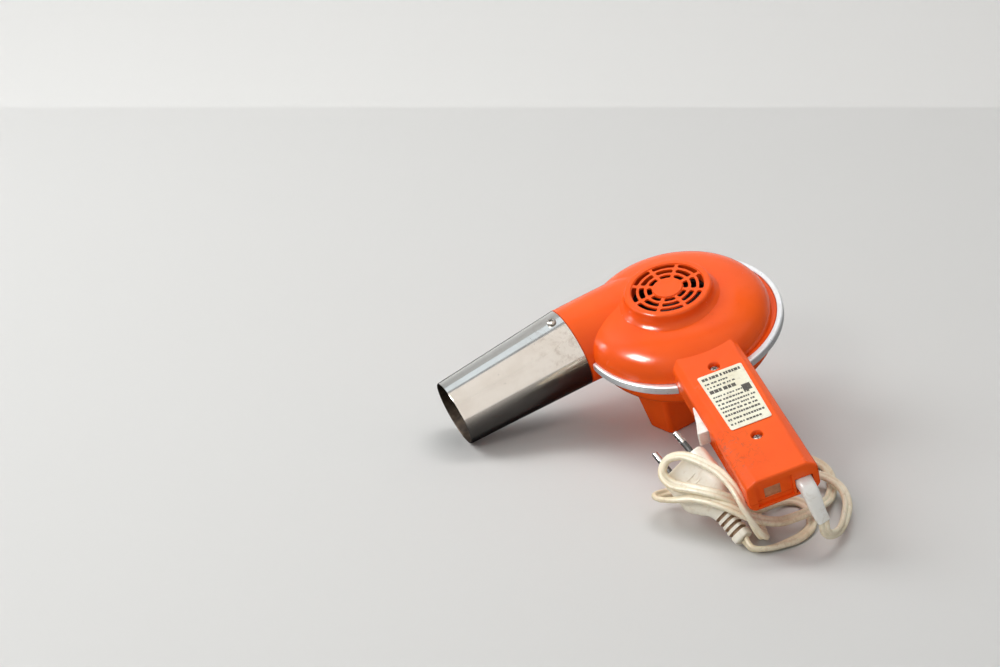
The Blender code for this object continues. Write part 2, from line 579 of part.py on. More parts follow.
def stand_foot():
    """Drafted hollow block whose base lies on the standing surface."""
    def surface_height(x, y, lift):
        return (lift - REST_HEIGHT - up_direction.x * x - up_direction.y * y) / up_direction.z

    def section(spread, level):
        """Rounded rectangle, either level at a height or lying on the standing surface."""
        loop = []
        corner = 3.5 * MM
        for sign_n, sign_t in ((1, 1), (-1, 1), (-1, -1), (1, -1)):
            for i in range(4):
                turn = pi / 2 * i / 3
                mix = (cos(turn), sin(turn)) if sign_n * sign_t > 0 else (sin(turn), cos(turn))
                side_n = FOOT_NEAR if sign_n > 0 else FOOT_FAR
                side_t = FOOT_HIGH if sign_t > 0 else FOOT_LOW
                edge_n = side_n + sign_n * (spread - corner + corner * mix[0])
                edge_t = side_t + sign_t * (spread - corner + corner * mix[1])
                loop.append((edge_n, edge_t, level))
        return loop

    def on_surface(loop, lift):
        placed = []
        for point in loop:
            spot = FOOT @ Vector(point)
            placed.append((point[0], point[1], surface_height(spot.x, spot.y, lift)))
        return placed

    top = section(45 * MM * FOOT_DRAFT, -12 * MM)
    low = on_surface(section(0.0, 0.0), 1.8 * MM)
    base = on_surface(section(-1.4 * MM, 0.0), 0.0)
    foot = loft("stand_foot", [top, low, base], ORANGE, rest, FOOT)
    hollow_top = section(45 * MM * FOOT_DRAFT - WALL, -11 * MM)
    hollow_low = on_surface(section(-WALL, 0.0), 3.0 * MM)
    hollow = loft("cut_foot_hollow", [hollow_top, hollow_low], parent=rest, matrix=FOOT)
    cut(foot, hollow)
    for number, near in enumerate(FOOT_SCREWS):
        spot = FOOT @ Vector((near, FOOT_MID, 0))
        post_low = surface_height(spot.x, spot.y, 1.6 * MM)
        post = cylinder(f"join_foot_post_{number}", 3.8 * MM, post_low, -20 * MM, parent=rest,
                        at=(near, FOOT_MID), steps=16, matrix=FOOT)
        hole = cylinder(f"cut_foot_post_{number}", 1.8 * MM, -44 * MM, -18 * MM, parent=rest,
                        at=(near, FOOT_MID), steps=12, matrix=FOOT)
        add(foot, post)
        cut(foot, hole)
    dish = turned("cut_foot_dish", mirrored(rear_profile(-GAP)), parent=rest, steps=DISC_STEPS)
    return cut(foot, dish)


def foot_screws():
    screws = []
    for number, near in enumerate(FOOT_SCREWS):
        spot = FOOT @ Vector((near, FOOT_MID, 0))
        distance = sqrt(spot.x ** 2 + spot.y ** 2)
        share = 1 - (distance / (DISH_RADIUS - WALL)) ** DISH_ROUND_R
        bore = (DISH_DEPTH - WALL) * share ** (1 / DISH_ROUND_Z)
        profile = screw_profile(-bore + 1.2 * MM, 12 * MM, 1.5 * MM, 3.0 * MM)
        screws.append(turned(f"foot_screw_{number + 1}", profile, STEEL, rest, at=(spot.x, spot.y), steps=12))
    return screws


def screw_profile(seat, length, shank, head):
    """Pan-head screw pointing down from its seat height."""
    return [(0.0, seat + 1.9 * MM), (head * 0.55, seat + 1.8 * MM), (head, seat + 0.7 * MM), (head, seat),
            (shank, seat), (shank, seat - length + 1.0 * MM), (0.0, seat - length)]


# ---------------------------------------------------------------- rim trim
def trim_band(name, *removers):
    """Channel strip over both rim flanges, cut back to one arc."""
    outer, inner, half = RIM_OUTER, RIM_INNER, RIM_HALF_HEIGHT
    throat, lip = RIM_OUTER - RIM_SHEET, half - RIM_SHEET
    profile = [(outer - 0.9 * MM, half), (outer, half - 0.9 * MM), (outer, -half + 0.9 * MM),
               (outer - 0.9 * MM, -half), (inner, -half), (inner, -lip), (throat, -lip), (throat, lip),
               (inner, lip), (inner, half)]
    band = turned(name, profile, CHROME, rest, steps=80, closed=True)
    neck_gap = box("cut_neck_" + name, (-90 * MM, OUTLET_START.y - 28.6 * MM, -6 * MM),
                   (-20 * MM, OUTLET_START.y + 30.9 * MM, 6 * MM), parent=rest)
    handle_gap = box("cut_handle_" + name, (40 * MM, HANDLE_OFFSET - HANDLE_HALF - GAP, -6 * MM),
                     (100 * MM, HANDLE_OFFSET + HANDLE_HALF + GAP, 6 * MM), parent=rest, matrix=HANDLE)
    return cut(band, neck_gap, handle_gap, *removers)


def trim_bands():
    right_side = box("cut_right_side", (-90 * MM, -2 * MM, -6 * MM), (90 * MM, 90 * MM, 6 * MM),
                     parent=rest, matrix=HANDLE)
    far_side = box("cut_far_side", (-90 * MM, 0.0, -6 * MM), (90 * MM, 90 * MM, 6 * MM), parent=rest)
    near_left = box("cut_near_left", (-1 * MM, -90 * MM, -6 * MM), (90 * MM, -2 * MM, 6 * MM),
                    parent=rest, matrix=HANDLE)
    trim_band("trim_band_short", right_side, far_side)
    trim_band("trim_band_long", near_left)


# ---------------------------------------------------------------- outlet tube and heater
def nozzle_tube():
    outer = [(tube_radius(TUBE_LENGTH), TUBE_LENGTH), (tube_radius(0.0), GAP)]
    inner = [(tube_radius(0.0) - TUBE_SHEET, GAP), (tube_radius(TUBE_LENGTH) - TUBE_SHEET, TUBE_LENGTH)]
    tube = turned("nozzle_tube", outer + inner, CHROME, outlet, steps=64, closed=True)
    for side in (-1, 1):
        hole = cylinder(f"cut_tube_hole_{side}", 1.9 * MM, side * 26 * MM - 6 * MM, side * 26 * MM + 6 * MM,
                        parent=outlet, steps=12, matrix=NOZZLE_SCREW_AXIS)
        cut(tube, hole)
    return tube


def nozzle_screws():
    """One screw on the grille side and one opposite."""
    for number, turn in enumerate((0.0, pi)):
        seat = tube_radius(NOZZLE_SCREW_ALONG) + 0.1 * MM
        profile = screw_profile(seat + GAP, 6.0 * MM, 1.5 * MM, 3.1 * MM)
        screw = turned(f"nozzle_screw_{number + 1}", profile, STEEL, outlet, steps=16)
        screw.location = (0, 0, NOZZLE_SCREW_ALONG)
        screw.rotation_euler = (0, pi / 2, turn)


def mica_sleeve():
    low, high, sheet = 15 * MM, 65 * MM, 0.8 * MM
    inset = TUBE_SHEET + 0.4 * MM
    outer = [(tube_radius(high) - inset, high), (tube_radius(low) - inset, low)]
    inner = [(outer[1][0] - sheet, low), (outer[0][0] - sheet, high)]
    return turned("mica_sleeve", outer + inner, MICA, outlet, steps=40, closed=True)


def mica_plates():
    """Two plates that cross, each slotted to half its length for the other."""
    sheet, half, low, high, middle = 0.4 * MM, 19.2 * MM, 17 * MM, 62 * MM, 40 * MM
    slot = sheet + GAP
    plate_a = box("mica_plate_a", (-half, -sheet, low), (half, sheet, high), MICA, outlet)
    cut(plate_a, box("cut_plate_a", (-slot, -2 * MM, middle - GAP), (slot, 2 * MM, high + 2 * MM),
                     parent=outlet))
    plate_b = box("mica_plate_b", (-sheet, -half, low), (sheet, half, high), MICA, outlet)
    cut(plate_b, box("cut_plate_b", (-2 * MM, -slot, low - 2 * MM), (2 * MM, slot, middle + GAP),
                     parent=outlet))


def heater_coils():
    radius, pitch, turns, per_turn = 20.1 * MM, 3.8 * MM, 5, 12
    for name, start in (("heater_coil_low", 19.5 * MM), ("heater_coil_high", 41 * MM)):
        helix = []
        for i in range(turns * per_turn + 1):
            turn = 2 * pi * i / per_turn
            helix.append((radius * cos(turn), radius * sin(turn), start + pitch * i / per_turn))
        wire(name, helix, 0.5 * MM, STEEL, outlet, resolution=1)


def thermal_cutout():
    return box("thermal_cutout", (3 * MM, 0.8 * MM, 30 * MM), (12 * MM, 4.6 * MM, 40 * MM), BRASS, outlet,
               bevel=0.5 * MM)


def outlet_guard():
    """Ring with crossing bars, held inside the tube in front of the heater."""
    low, high = 66 * MM, 67.4 * MM
    edge = tube_radius(high) - TUBE_SHEET - 0.4 * MM
    inner = edge - 1.4 * MM
    guard = turned("outlet_guard", [(edge, high), (edge, low), (inner, low), (inner, high)], BLACK, outlet,
                   steps=40, closed=True)
    for number in range(3):
        bar = box(f"join_guard_bar_{number}", (-edge + 0.7 * MM, -0.5 * MM, low + 0.1 * MM),
                  (edge - 0.7 * MM, 0.5 * MM, high - 0.1 * MM), parent=outlet,
                  matrix=Matrix.Rotation(number * pi / 3, 4, "Z"))
        add(guard, bar)
    return guard


# ---------------------------------------------------------------- fan and motor
def fan_impeller():
    """Back plate with hub, curved blades and a front ring."""
    plate_low, plate_high, top = 4.0 * MM, 5.2 * MM, 16.4 * MM
    wheel = turned("fan_impeller", [(6 * MM, 14 * MM), (7 * MM, plate_high), (40 * MM, plate_high),
                                    (40 * MM, plate_low), (1.9 * MM, plate_low), (1.9 * MM, 14 * MM)],
                   BLACK, fan_axis, steps=32, closed=True)
    ring = turned("join_fan_ring", [(40 * MM, top), (40 * MM, top - 1.2 * MM), (29 * MM, top - 1.2 * MM),
                                    (29 * MM, top)], parent=fan_axis, steps=32, closed=True)
    add(wheel, ring)
    for number in range(12):
        turn = 2 * pi * number / 12
        blade = box(f"join_blade_{number}", (28.6 * MM, -0.6 * MM, plate_low + 0.4 * MM),
                    (39.6 * MM, 0.6 * MM, top - 0.5 * MM), parent=fan_axis,
                    matrix=Matrix.Rotation(turn, 4, "Z") @ Matrix.Translation((34 * MM, 0, 0))
                    @ Matrix.Rotation(radians(28), 4, "Z") @ Matrix.Translation((-34 * MM, 0, 0)))
        add(wheel, blade)
    return wheel


def rotor():
    cylinder("motor_shaft", 1.6 * MM, -27.5 * MM, 13.0 * MM, STEEL, fan_axis, steps=20)
    core = turned("armature_core", [(12 * MM, STATOR_HIGH), (12 * MM, STATOR_LOW), (1.9 * MM, STATOR_LOW),
                                    (1.9 * MM, STATOR_HIGH)], IRON, fan_axis, steps=32, closed=True)
    windings = turned("armature_windings", [
        (9.6 * MM, -6.8 * MM), (10.4 * MM, -9.7 * MM), (3.2 * MM, -9.7 * MM), (3.2 * MM, -6.8 * MM)],
        COPPER, fan_axis, steps=24, closed=True)
    rear = turned("join_winding_rear", [
        (10.4 * MM, -20.3 * MM), (9.6 * MM, -23.4 * MM), (3.2 * MM, -23.4 * MM), (3.2 * MM, -20.3 * MM)],
        parent=fan_axis, steps=24, closed=True)
    add(windings, rear)
    for number in range(6):
        turn = Matrix.Rotation(2 * pi * number / 6, 4, "Z")
        slot = box(f"cut_slot_{number}", (7.4 * MM, -1.6 * MM, -22 * MM), (13 * MM, 1.6 * MM, -8 * MM),
                   parent=fan_axis, matrix=turn)
        bar = box(f"join_bar_{number}", (7.8 * MM, -1.2 * MM, -21 * MM), (10.0 * MM, 1.2 * MM, -9 * MM),
                  parent=fan_axis, matrix=turn)
        cut(core, slot)
        add(windings, bar)
    turned("commutator", [
        (5 * MM, -1.4 * MM), (5 * MM, -6.4 * MM), (1.9 * MM, -6.4 * MM), (1.9 * MM, -1.4 * MM)],
        COPPER, fan_axis, steps=24, closed=True)


def stator():
    core = box("stator_core", (-24 * MM, -21 * MM, STATOR_LOW), (24 * MM, 21 * MM, STATOR_HIGH), IRON,
               fan_axis)
    cut(core, cylinder("cut_stator_bore", 12.6 * MM, STATOR_LOW - MM, STATOR_HIGH + MM, parent=fan_axis,
                       steps=32))
    for side_x in (-1, 1):
        for side_y in (-1, 1):
            xs = sorted((side_x * 7.0 * MM, side_x * 17.5 * MM))
            ys = sorted((side_y * 8.0 * MM, side_y * 17.0 * MM))
            window = box(f"cut_window_{side_x}_{side_y}", (xs[0], ys[0], STATOR_LOW - MM),
                         (xs[1], ys[1], STATOR_HIGH + MM), parent=fan_axis)
            cut(core, window)
        cut(core, cylinder(f"cut_stator_screw_{side_x}", 1.9 * MM, STATOR_LOW - MM, STATOR_HIGH + MM,
                           parent=fan_axis, at=(side_x * MOTOR_SCREW_X, 0), steps=12))
    middle = (STATOR_LOW + STATOR_HIGH) / 2
    for number, side in enumerate((-1, 1)):
        ys = sorted((side * 13.0 * MM, side * 16.6 * MM))
        holes = sorted((side * 12.0 * MM, side * 18.0 * MM))
        coil = box(f"field_coil_{number + 1}", (-11.4 * MM, ys[0], middle - 8.6 * MM),
                   (11.4 * MM, ys[1], middle + 8.6 * MM), COPPER, fan_axis, bevel=1.2 * MM)
        cut(coil, box(f"cut_coil_{number}", (-7.3 * MM, holes[0], middle - 5.3 * MM),
                      (7.3 * MM, holes[1], middle + 5.3 * MM), parent=fan_axis))


def brackets():
    """Bars that carry the bearings, with legs to the stator, drilled for the motor screws."""
    spans = (("front_bracket", FRONT_BRACKET_LOW, FRONT_BRACKET_LOW + BRACKET_THICK, STATOR_HIGH + GAP,
              FRONT_BRACKET_LOW + 0.5 * MM),
             ("rear_bracket", MOTOR_REAR, MOTOR_REAR + BRACKET_THICK, MOTOR_REAR + BRACKET_THICK - 0.5 * MM,
              STATOR_LOW - GAP))
    for name, low, high, leg_low, leg_high in spans:
        bracket = box(name, (-24 * MM, -6 * MM, low), (24 * MM, 6 * MM, high), STEEL, fan_axis)
        for side in (-1, 1):
            xs = sorted((side * 18.2 * MM, side * 24.0 * MM))
            leg = box(f"join_leg_{name}_{side}", (xs[0], -4 * MM, leg_low), (xs[1], 4 * MM, leg_high),
                      parent=fan_axis)
            hole = cylinder(f"cut_leg_{name}_{side}", 1.9 * MM, low - 12 * MM, high + 12 * MM,
                            parent=fan_axis, at=(side * MOTOR_SCREW_X, 0), steps=12)
            add(bracket, leg)
            cut(bracket, hole)
        cut(bracket, cylinder("cut_bearing_" + name, 3.8 * MM, low - MM, high + MM, parent=fan_axis,
                              steps=20))
    bearings = (("front_bearing", -0.9 * MM, 2.4 * MM), ("rear_bearing", -27.2 * MM, -23.9 * MM))
    for name, low, high in bearings:
        turned(name, [(3.5 * MM, high), (3.5 * MM, low), (1.7 * MM, low), (1.7 * MM, high)], BRASS,
               fan_axis, steps=20, closed=True)


def motor_screws():
    seat = FRONT_BRACKET_LOW + BRACKET_THICK + GAP
    for number, side in enumerate((-1, 1)):
        turned(f"motor_screw_{number + 1}", screw_profile(seat, 29.8 * MM, 1.5 * MM, 2.8 * MM),
               STEEL, fan_axis, at=(side * MOTOR_SCREW_X, 0), steps=12)


def brushes():
    """Carbon brushes in square holders on two sides of the commutator."""
    for number, side in enumerate((-1, 1)):
        ys = sorted((side * 7.0 * MM, side * 12.4 * MM))
        holder = box(f"brush_holder_{number + 1}", (-3.2 * MM, ys[0], -5.7 * MM),
                     (3.2 * MM, ys[1], -0.4 * MM), BRASS, fan_axis)
        cut(holder, box(f"cut_holder_{number}", (-2.2 * MM, -20 * MM, -4.9 * MM),
                        (2.2 * MM, 20 * MM, -1.5 * MM), parent=fan_axis))
        tips = sorted((side * 5.3 * MM, side * 11.6 * MM))
        box(f"carbon_brush_{number + 1}", (-1.9 * MM, tips[0], -4.6 * MM), (1.9 * MM, tips[1], -1.8 * MM),
            CARBON, fan_axis)


# ---------------------------------------------------------------- handle fittings
def handle_screws():
    for number, along in enumerate(SCREW_ALONG):
        spot = HANDLE @ Vector((along, HANDLE_OFFSET, 0))
        turned(f"handle_screw_{number + 1}", screw_profile(SCREW_SEAT + GAP, 17.4 * MM, 1.5 * MM, 3.2 * MM),
               STEEL, rest, at=(spot.x, spot.y), steps=16)


def rating_label():
    """Thin plate on the handle's face, a little narrower at its far end."""
    centre = HANDLE_OFFSET + 1.0 * MM
    near, far = LABEL_ALONG
    points = [(near, centre - 15.1 * MM), (far, centre - 13.6 * MM), (far, centre + 13.6 * MM),
              (near, centre + 15.1 * MM)]
    low = HANDLE_TOP + GAP
    return outline("rating_label", points, low, low + 0.4 * MM, PAPER, rest, HANDLE)


def switch_rocker():
    """Wedge rocker that turns about a pin inside the handle's left wall."""
    pivot_place = HANDLE @ Vector((ROCKER_ALONG, ROCKER_ACROSS, 0))
    pivot = bpy.data.objects.new("rocker_pivot", None)
    pivot.location = pivot_place
    pivot.rotation_euler = (0, 0, HANDLE_ANGLE)
    pivot.parent = rest
    PARTS.objects.link(pivot)
    half = ROCKER_HALF
    side = [(-half, -5.3 * MM), (-half, -3.6 * MM), (-4.0 * MM, 0.6 * MM), (0.0, 1.6 * MM),
            (4.0 * MM, 0.6 * MM), (half, -3.6 * MM), (half, -10.6 * MM), (half - 0.9 * MM, -11.3 * MM),
            (0.0, -7.9 * MM)]
    rocker = outline("switch_rocker", side, ROCKER_LOW, ROCKER_HIGH, WHITE, pivot)
    return cut(rocker, cylinder("cut_rocker_pin", 1.2 * MM, -2 * MM, 14 * MM, parent=pivot, steps=16))


def switch_works():
    """Switch body behind the rocker, its pin and its three terminals."""
    low, high = -1.1 * MM, 12.0 * MM
    near, far = ROCKER_ALONG - 12 * MM, ROCKER_ALONG + 12 * MM
    inner_low, inner_high = ROCKER_ACROSS + 3.4 * MM, ROCKER_ACROSS + 15 * MM
    body = box("switch_body", (near, inner_low, low), (far, inner_high, high), BLACK, rest, HANDLE)
    for number, (ear_low, ear_high) in enumerate(((low, ROCKER_LOW - GAP), (ROCKER_HIGH + GAP, high))):
        ear = box(f"join_ear_{number}", (ROCKER_ALONG - 3 * MM, ROCKER_ACROSS - 1.6 * MM, ear_low),
                  (ROCKER_ALONG + 3 * MM, inner_low + 1 * MM, ear_high), parent=rest, matrix=HANDLE)
        add(body, ear)
    pivot = (ROCKER_ALONG, ROCKER_ACROSS)
    bore = cylinder("cut_ear_bore", 1.3 * MM, low - MM, high + MM, parent=rest, at=pivot, steps=16,
                    matrix=HANDLE)
    cut(body, bore)
    cylinder("switch_pin", 1.0 * MM, low + 0.2 * MM, high - 0.2 * MM, STEEL, rest, at=pivot, steps=16,
             matrix=HANDLE)
    for number, along in enumerate((-8 * MM, 0.0, 8 * MM)):
        start = inner_high + GAP
        box(f"switch_terminal_{number + 1}", (ROCKER_ALONG + along - 1.6 * MM, start, 4.0 * MM),
            (ROCKER_ALONG + along + 1.6 * MM, start + 4.5 * MM, 4.8 * MM), BRASS, rest, HANDLE)


def cord_clamp():
    """Bridge over the cord, screwed down on two posts."""
    low, high = CLAMP_LOW, CLAMP_LOW + 2.0 * MM
    clamp = box("cord_clamp", (CLAMP_ALONG - 3.5 * MM, CLAMP_ACROSS[0] - 2.4 * MM, low),
                (CLAMP_ALONG + 3.5 * MM, CLAMP_ACROSS[1] + 2.4 * MM, high), WHITE, rest, HANDLE)
    for number, across in enumerate(CLAMP_ACROSS):
        cut(clamp, cylinder(f"cut_clamp_{number}", 1.2 * MM, low - MM, high + MM, parent=rest,
                            at=(CLAMP_ALONG, across), steps=12, matrix=HANDLE))
        spot = HANDLE @ Vector((CLAMP_ALONG, across, 0))
        profile = screw_profile(high + GAP, 11 * MM, 0.85 * MM, 1.8 * MM)
        turned(f"clamp_screw_{number + 1}", profile, STEEL, rest, at=(spot.x, spot.y), steps=12)
    inner = [HANDLE @ Vector((along * MM, CORD_ACROSS, CORD_HEIGHT)) for along in range(156, 177, 4)]
    wire("cord_inner", inner, 2.5 * MM, CREAM, rest)


def leads():
    """Internal leads, each a wire from its terminal."""
    def path(*points):
        return [HANDLE @ Vector(point) for point in points]

    routes = {
        "wire_live": ((155.5, 10.2, 4.0), (148, 9, 6), (138, 7, 8), (126, 4, 7), (119, 1.2, 5.2),
                      (115.2, 0.6, 4.4)),
        "wire_neutral": ((155.5, 13.0, 4.0), (146, 14, 7), (130, 15, 9), (110, 15, 9), (90, 13, 8),
                         (74, 11, 6), (58, 9, 4)),
        "wire_motor": ((107.0, 0.9, 4.4), (100, 4, 6.5), (90, 7, 5), (74, 5.5, 3), (60, 3, 2),
                       (44, -1, -2)),
        "wire_heater": ((99.0, 0.9, 4.4), (92, -1, 7), (84, -10, 9), (72, -13, 8), (60, -14, 6),
                        (52, -18, 2)),
    }
    for name, route in routes.items():
        spots = [tuple(value * MM for value in point) for point in route]
        colour = WHITE if name == "wire_neutral" else BLACK
        wire(name, smooth_path(path(*spots), 3), 0.8 * MM, colour, rest, resolution=1)


# ---------------------------------------------------------------- cord and plug
def strain_relief():
    """Tapered cord protector with a collar behind the handle's end wall, bending down."""
    sections = []
    path = [Vector(point) * MM for point in RELIEF_PATH]
    for i, point in enumerate(path):
        before, after = path[max(i - 1, 0)], path[min(i + 1, len(path) - 1)]
        forward = (after - before).normalized()
        across = Vector((0, 1, 0))
        across = (across - forward * across.dot(forward)).normalized()
        rise = across.cross(forward)
        half_w, half_h = (size * MM for size in RELIEF_SIZE[i])
        soft = 0.30
        corners = ((1, 1 - soft), (1 - soft, 1), (-1 + soft, 1), (-1, 1 - soft), (-1, -1 + soft),
                   (-1 + soft, -1), (1 - soft, -1), (1, -1 + soft))
        sections.append([point + across * half_w * a + rise * half_h * b for a, b in corners])
    return loft("strain_relief", sections, WHITE, rest, HANDLE)


def plug_frame():
    """Matrix from the plug's own frame: X across, Y through the thickness, Z from pins to tail."""
    shift = Vector((REST_PLACE.x, REST_PLACE.y, 0.0))
    along = (PLUG_TAIL - PLUG_TIPS).normalized()
    across = (PLUG_ACROSS - along * PLUG_ACROSS.dot(along)).normalized()
    through = along.cross(across)
    turn = Matrix((across, through, along)).transposed().to_4x4()
    return Matrix.Translation(PLUG_TIPS + shift) @ turn


def spaced(path, step):
    """Points at an even distance along a path."""
    kept = [path[0]]
    run = 0.0
    for before, after in zip(path, path[1:]):
        run += (after - before).length
        if run >= step:
            kept.append(after)
            run = 0.0
    if run < step / 2:
        kept.pop()
    return kept + [path[-1]]


def plug():
    frame = plug_frame()
    sections = []
    for along, half_x, half_y in PLUG_SECTIONS:
        loop = []
        for i in range(20):
            turn = 2 * pi * i / 20
            reach = (abs(cos(turn)) ** 4 + abs(sin(turn)) ** 4) ** -0.25
            loop.append((half_x * reach * cos(turn) * MM, half_y * reach * sin(turn) * MM, along * MM))
        sections.append(loop)
    body = loft("plug_body", sections, WHITE, matrix=frame)
    for number in range(4):
        for side in (-1, 1):
            low, high = (62.5 + 4.0 * number) * MM, (64.3 + 4.0 * number) * MM
            rim = sorted((side * 3.9 * MM, side * 7.0 * MM))
            cut(body, box(f"cut_rib_{number}_{side}", (-4.2 * MM, rim[0], low), (4.2 * MM, rim[1], high),
                          matrix=frame))
    for number, side in enumerate((-1, 1)):
        spot = (side * PIN_SPACING / 2, 0.0)
        cut(body, cylinder(f"cut_pin_{number}", 1.5 * MM, 17 * MM, 26 * MM, at=spot, steps=16,
                           matrix=frame))
        pin_place = frame @ Matrix.Translation((*spot, 0.0))
        pin = turned(f"plug_pin_{number + 1}", [
            (0.0, 25 * MM), (1.2 * MM, 25 * MM), (1.2 * MM, 9.6 * MM), (2.0 * MM, 9.6 * MM),
            (2.0 * MM, 1.2 * MM), (1.2 * MM, 0.2 * MM), (0.0, 0.0)], CHROME, steps=16)
        pin.matrix_world = pin_place
        low, high = 9.6 * MM + GAP, PIN_LENGTH - GAP
        sleeve = turned(f"pin_sleeve_{number + 1}", [
            (2.0 * MM, high), (2.0 * MM, low), (1.5 * MM, low), (1.5 * MM, high)],
            BLACK, steps=16, closed=True)
        sleeve.matrix_world = pin_place


def free_cord():
    """Cord from the relief's end to the plug's tail."""
    shift = Vector((REST_PLACE.x, REST_PLACE.y, 0.0))
    body = Matrix.Translation((REST_PLACE.x, REST_PLACE.y, REST_HEIGHT)) @ REST_TURN.to_matrix().to_4x4()
    last, tip = (Vector(point) * MM for point in RELIEF_PATH[-2:])
    start = body @ HANDLE @ (tip + (tip - last).normalized() * 1.2 * GAP)
    along = (PLUG_TAIL - PLUG_TIPS).normalized()
    end = PLUG_TIPS + along * (PLUG_SECTIONS[-1][0] * MM + 2.5 * GAP) + shift
    route = [start] + [Vector(point) * MM + shift for point in CORD_ROUTE] + [end]
    wire("cord", spaced(smooth_path(route, 8), 11.2 * MM), CORD_RADIUS, CREAM)


plug()
free_cord()
front_shell()
rear_shell()
stand_foot()
foot_screws()
trim_bands()
nozzle_tube()
nozzle_screws()
mica_sleeve()
mica_plates()
heater_coils()
thermal_cutout()
outlet_guard()
fan_impeller()
rotor()
stator()
brackets()
motor_screws()
brushes()
handle_screws()
rating_label()
switch_rocker()
switch_works()
cord_clamp()
leads()
strain_relief()
bpy.context.view_layer.update()
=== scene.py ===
"""Finished look of the hair dryer: moulded orange shells, chromed outlet tube, metal rim trim,
rating label, rocker switch, flat twin cord and two-pin plug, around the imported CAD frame.

Casing frame: origin at the rim's centre on the seam plane, +Z towards the intake grille, -X along
the outlet. Handle frame: along (to the handle's end), across (to its right), up.
"""
import json
import random
from math import cos, pi, radians, sin, sqrt

import bmesh
import bpy
from mathutils import Euler, Matrix, Vector
from mathutils.geometry import interpolate_bezier

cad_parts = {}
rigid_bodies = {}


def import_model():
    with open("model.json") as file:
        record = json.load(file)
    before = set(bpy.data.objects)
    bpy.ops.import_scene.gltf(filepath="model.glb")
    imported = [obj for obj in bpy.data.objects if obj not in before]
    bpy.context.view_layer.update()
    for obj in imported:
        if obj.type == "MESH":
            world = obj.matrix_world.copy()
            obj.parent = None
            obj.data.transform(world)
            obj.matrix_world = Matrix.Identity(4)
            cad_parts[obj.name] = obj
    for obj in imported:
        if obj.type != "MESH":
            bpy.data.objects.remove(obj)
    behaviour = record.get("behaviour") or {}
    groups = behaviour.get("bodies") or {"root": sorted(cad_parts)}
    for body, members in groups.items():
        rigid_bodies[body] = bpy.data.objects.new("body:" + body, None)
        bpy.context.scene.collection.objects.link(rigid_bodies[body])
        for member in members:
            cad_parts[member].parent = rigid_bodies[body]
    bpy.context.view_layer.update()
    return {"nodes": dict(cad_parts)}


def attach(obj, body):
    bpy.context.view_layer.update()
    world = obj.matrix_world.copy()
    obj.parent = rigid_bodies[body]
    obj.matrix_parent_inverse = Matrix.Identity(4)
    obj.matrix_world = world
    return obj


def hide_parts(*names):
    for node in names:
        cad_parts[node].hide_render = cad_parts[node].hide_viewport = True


for old in list(bpy.data.objects):
    bpy.data.objects.remove(old)
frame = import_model()

MM = 0.001
GAP = 0.3 * MM
WALL = 2.0 * MM

# Casing disc
RIM_OUTER, RIM_INNER, RIM_HALF_HEIGHT, RIM_SHEET = 68.0 * MM, 64.0 * MM, 3.1 * MM, 1.1 * MM
FLANGE_RADIUS, FLANGE_THICK = 66.4 * MM, 1.6 * MM
DOME_RADIUS, DOME_HEIGHT, DOME_ROUND_Z, DOME_ROUND_R = 63.0 * MM, 25.5 * MM, 3.0, 3.3
DOME_X = -2.9 * MM
DOME_BORE_RADIUS, DOME_BORE_X = 60.0 * MM, -1.9 * MM
DISH_RADIUS, DISH_DEPTH, DISH_ROUND_Z, DISH_ROUND_R = 62.0 * MM, 30.0 * MM, 3.0, 3.5
DISC_STEPS = 128
BORE_STEPS = 64

# Intake turret
FAN_X = -4.6 * MM
TURRET_RADIUS, TURRET_TOP = 29.3 * MM, 33.6 * MM
GRILLE_RADIUS, GRILLE_THICK, SPOKE_WIDTH = 24.2 * MM, 2.0 * MM, 1.9 * MM
HUB_RADIUS = 10.2 * MM
SLOT_RINGS = ((0.865, 1.00), (0.645, 0.79), (0.43, 0.57))   # inner and outer edge, of GRILLE_RADIUS

# Outlet neck and tube
OUTLET_START = Vector((-69.5, 28.0, 0.0)) * MM
OUTLET_DROOP = radians(4.0)
OUTLET_RADIUS, TIP_RADIUS, TUBE_LENGTH, TUBE_SHEET = 27.5 * MM, 22.7 * MM, 91.0 * MM, 1.0 * MM
SPIGOT_LENGTH = 13.0 * MM
NOZZLE_SCREW_ALONG = 7.5 * MM
NECK_STATIONS = ((-2.0, 31.0, 24.0), (-20.0, 31.0, 25.3), (-45.0, 29.4, 26.6))   # x, half y, half z
NECK_BEND = NECK_STATIONS[-1][0] * MM   # from here on the neck tilts down to the tube

# Handle
HANDLE_ANGLE = radians(-99.5)
HANDLE_OFFSET = -2.0 * MM
HANDLE_END, HANDLE_TOP, HANDLE_BACK = 184.6 * MM, 17.5 * MM, -6.0 * MM
HANDLE_HALF, HANDLE_WALL, END_WALL = 23.5 * MM, 2.2 * MM, 4.0 * MM
FACE_HALF, FACE_TAPER, TAPER_START = 19.3, 2.7, 50 * MM   # face's half width in mm, and its loss to the end
SCREW_ALONG = (72.2 * MM, 145.7 * MM)
SCREW_SEAT = 13.4 * MM
LABEL_NEAR, LABEL_FAR = 78.5 * MM, 135.0 * MM
ROCKER_ALONG, ROCKER_ACROSS, ROCKER_HALF = 107.0 * MM, -21.0 * MM, 12.6 * MM
ROCKER_LOW, ROCKER_HIGH = 0.4 * MM, 10.6 * MM

# Standing foot
FOOT_ANGLE = radians(20.5)
FOOT_NEAR, FOOT_FAR, FOOT_LOW, FOOT_HIGH = 44.0 * MM, -8.0 * MM, -5.0 * MM, 15.0 * MM
FOOT_DRAFT = 0.12
FOOT_HEIGHT = 45 * MM

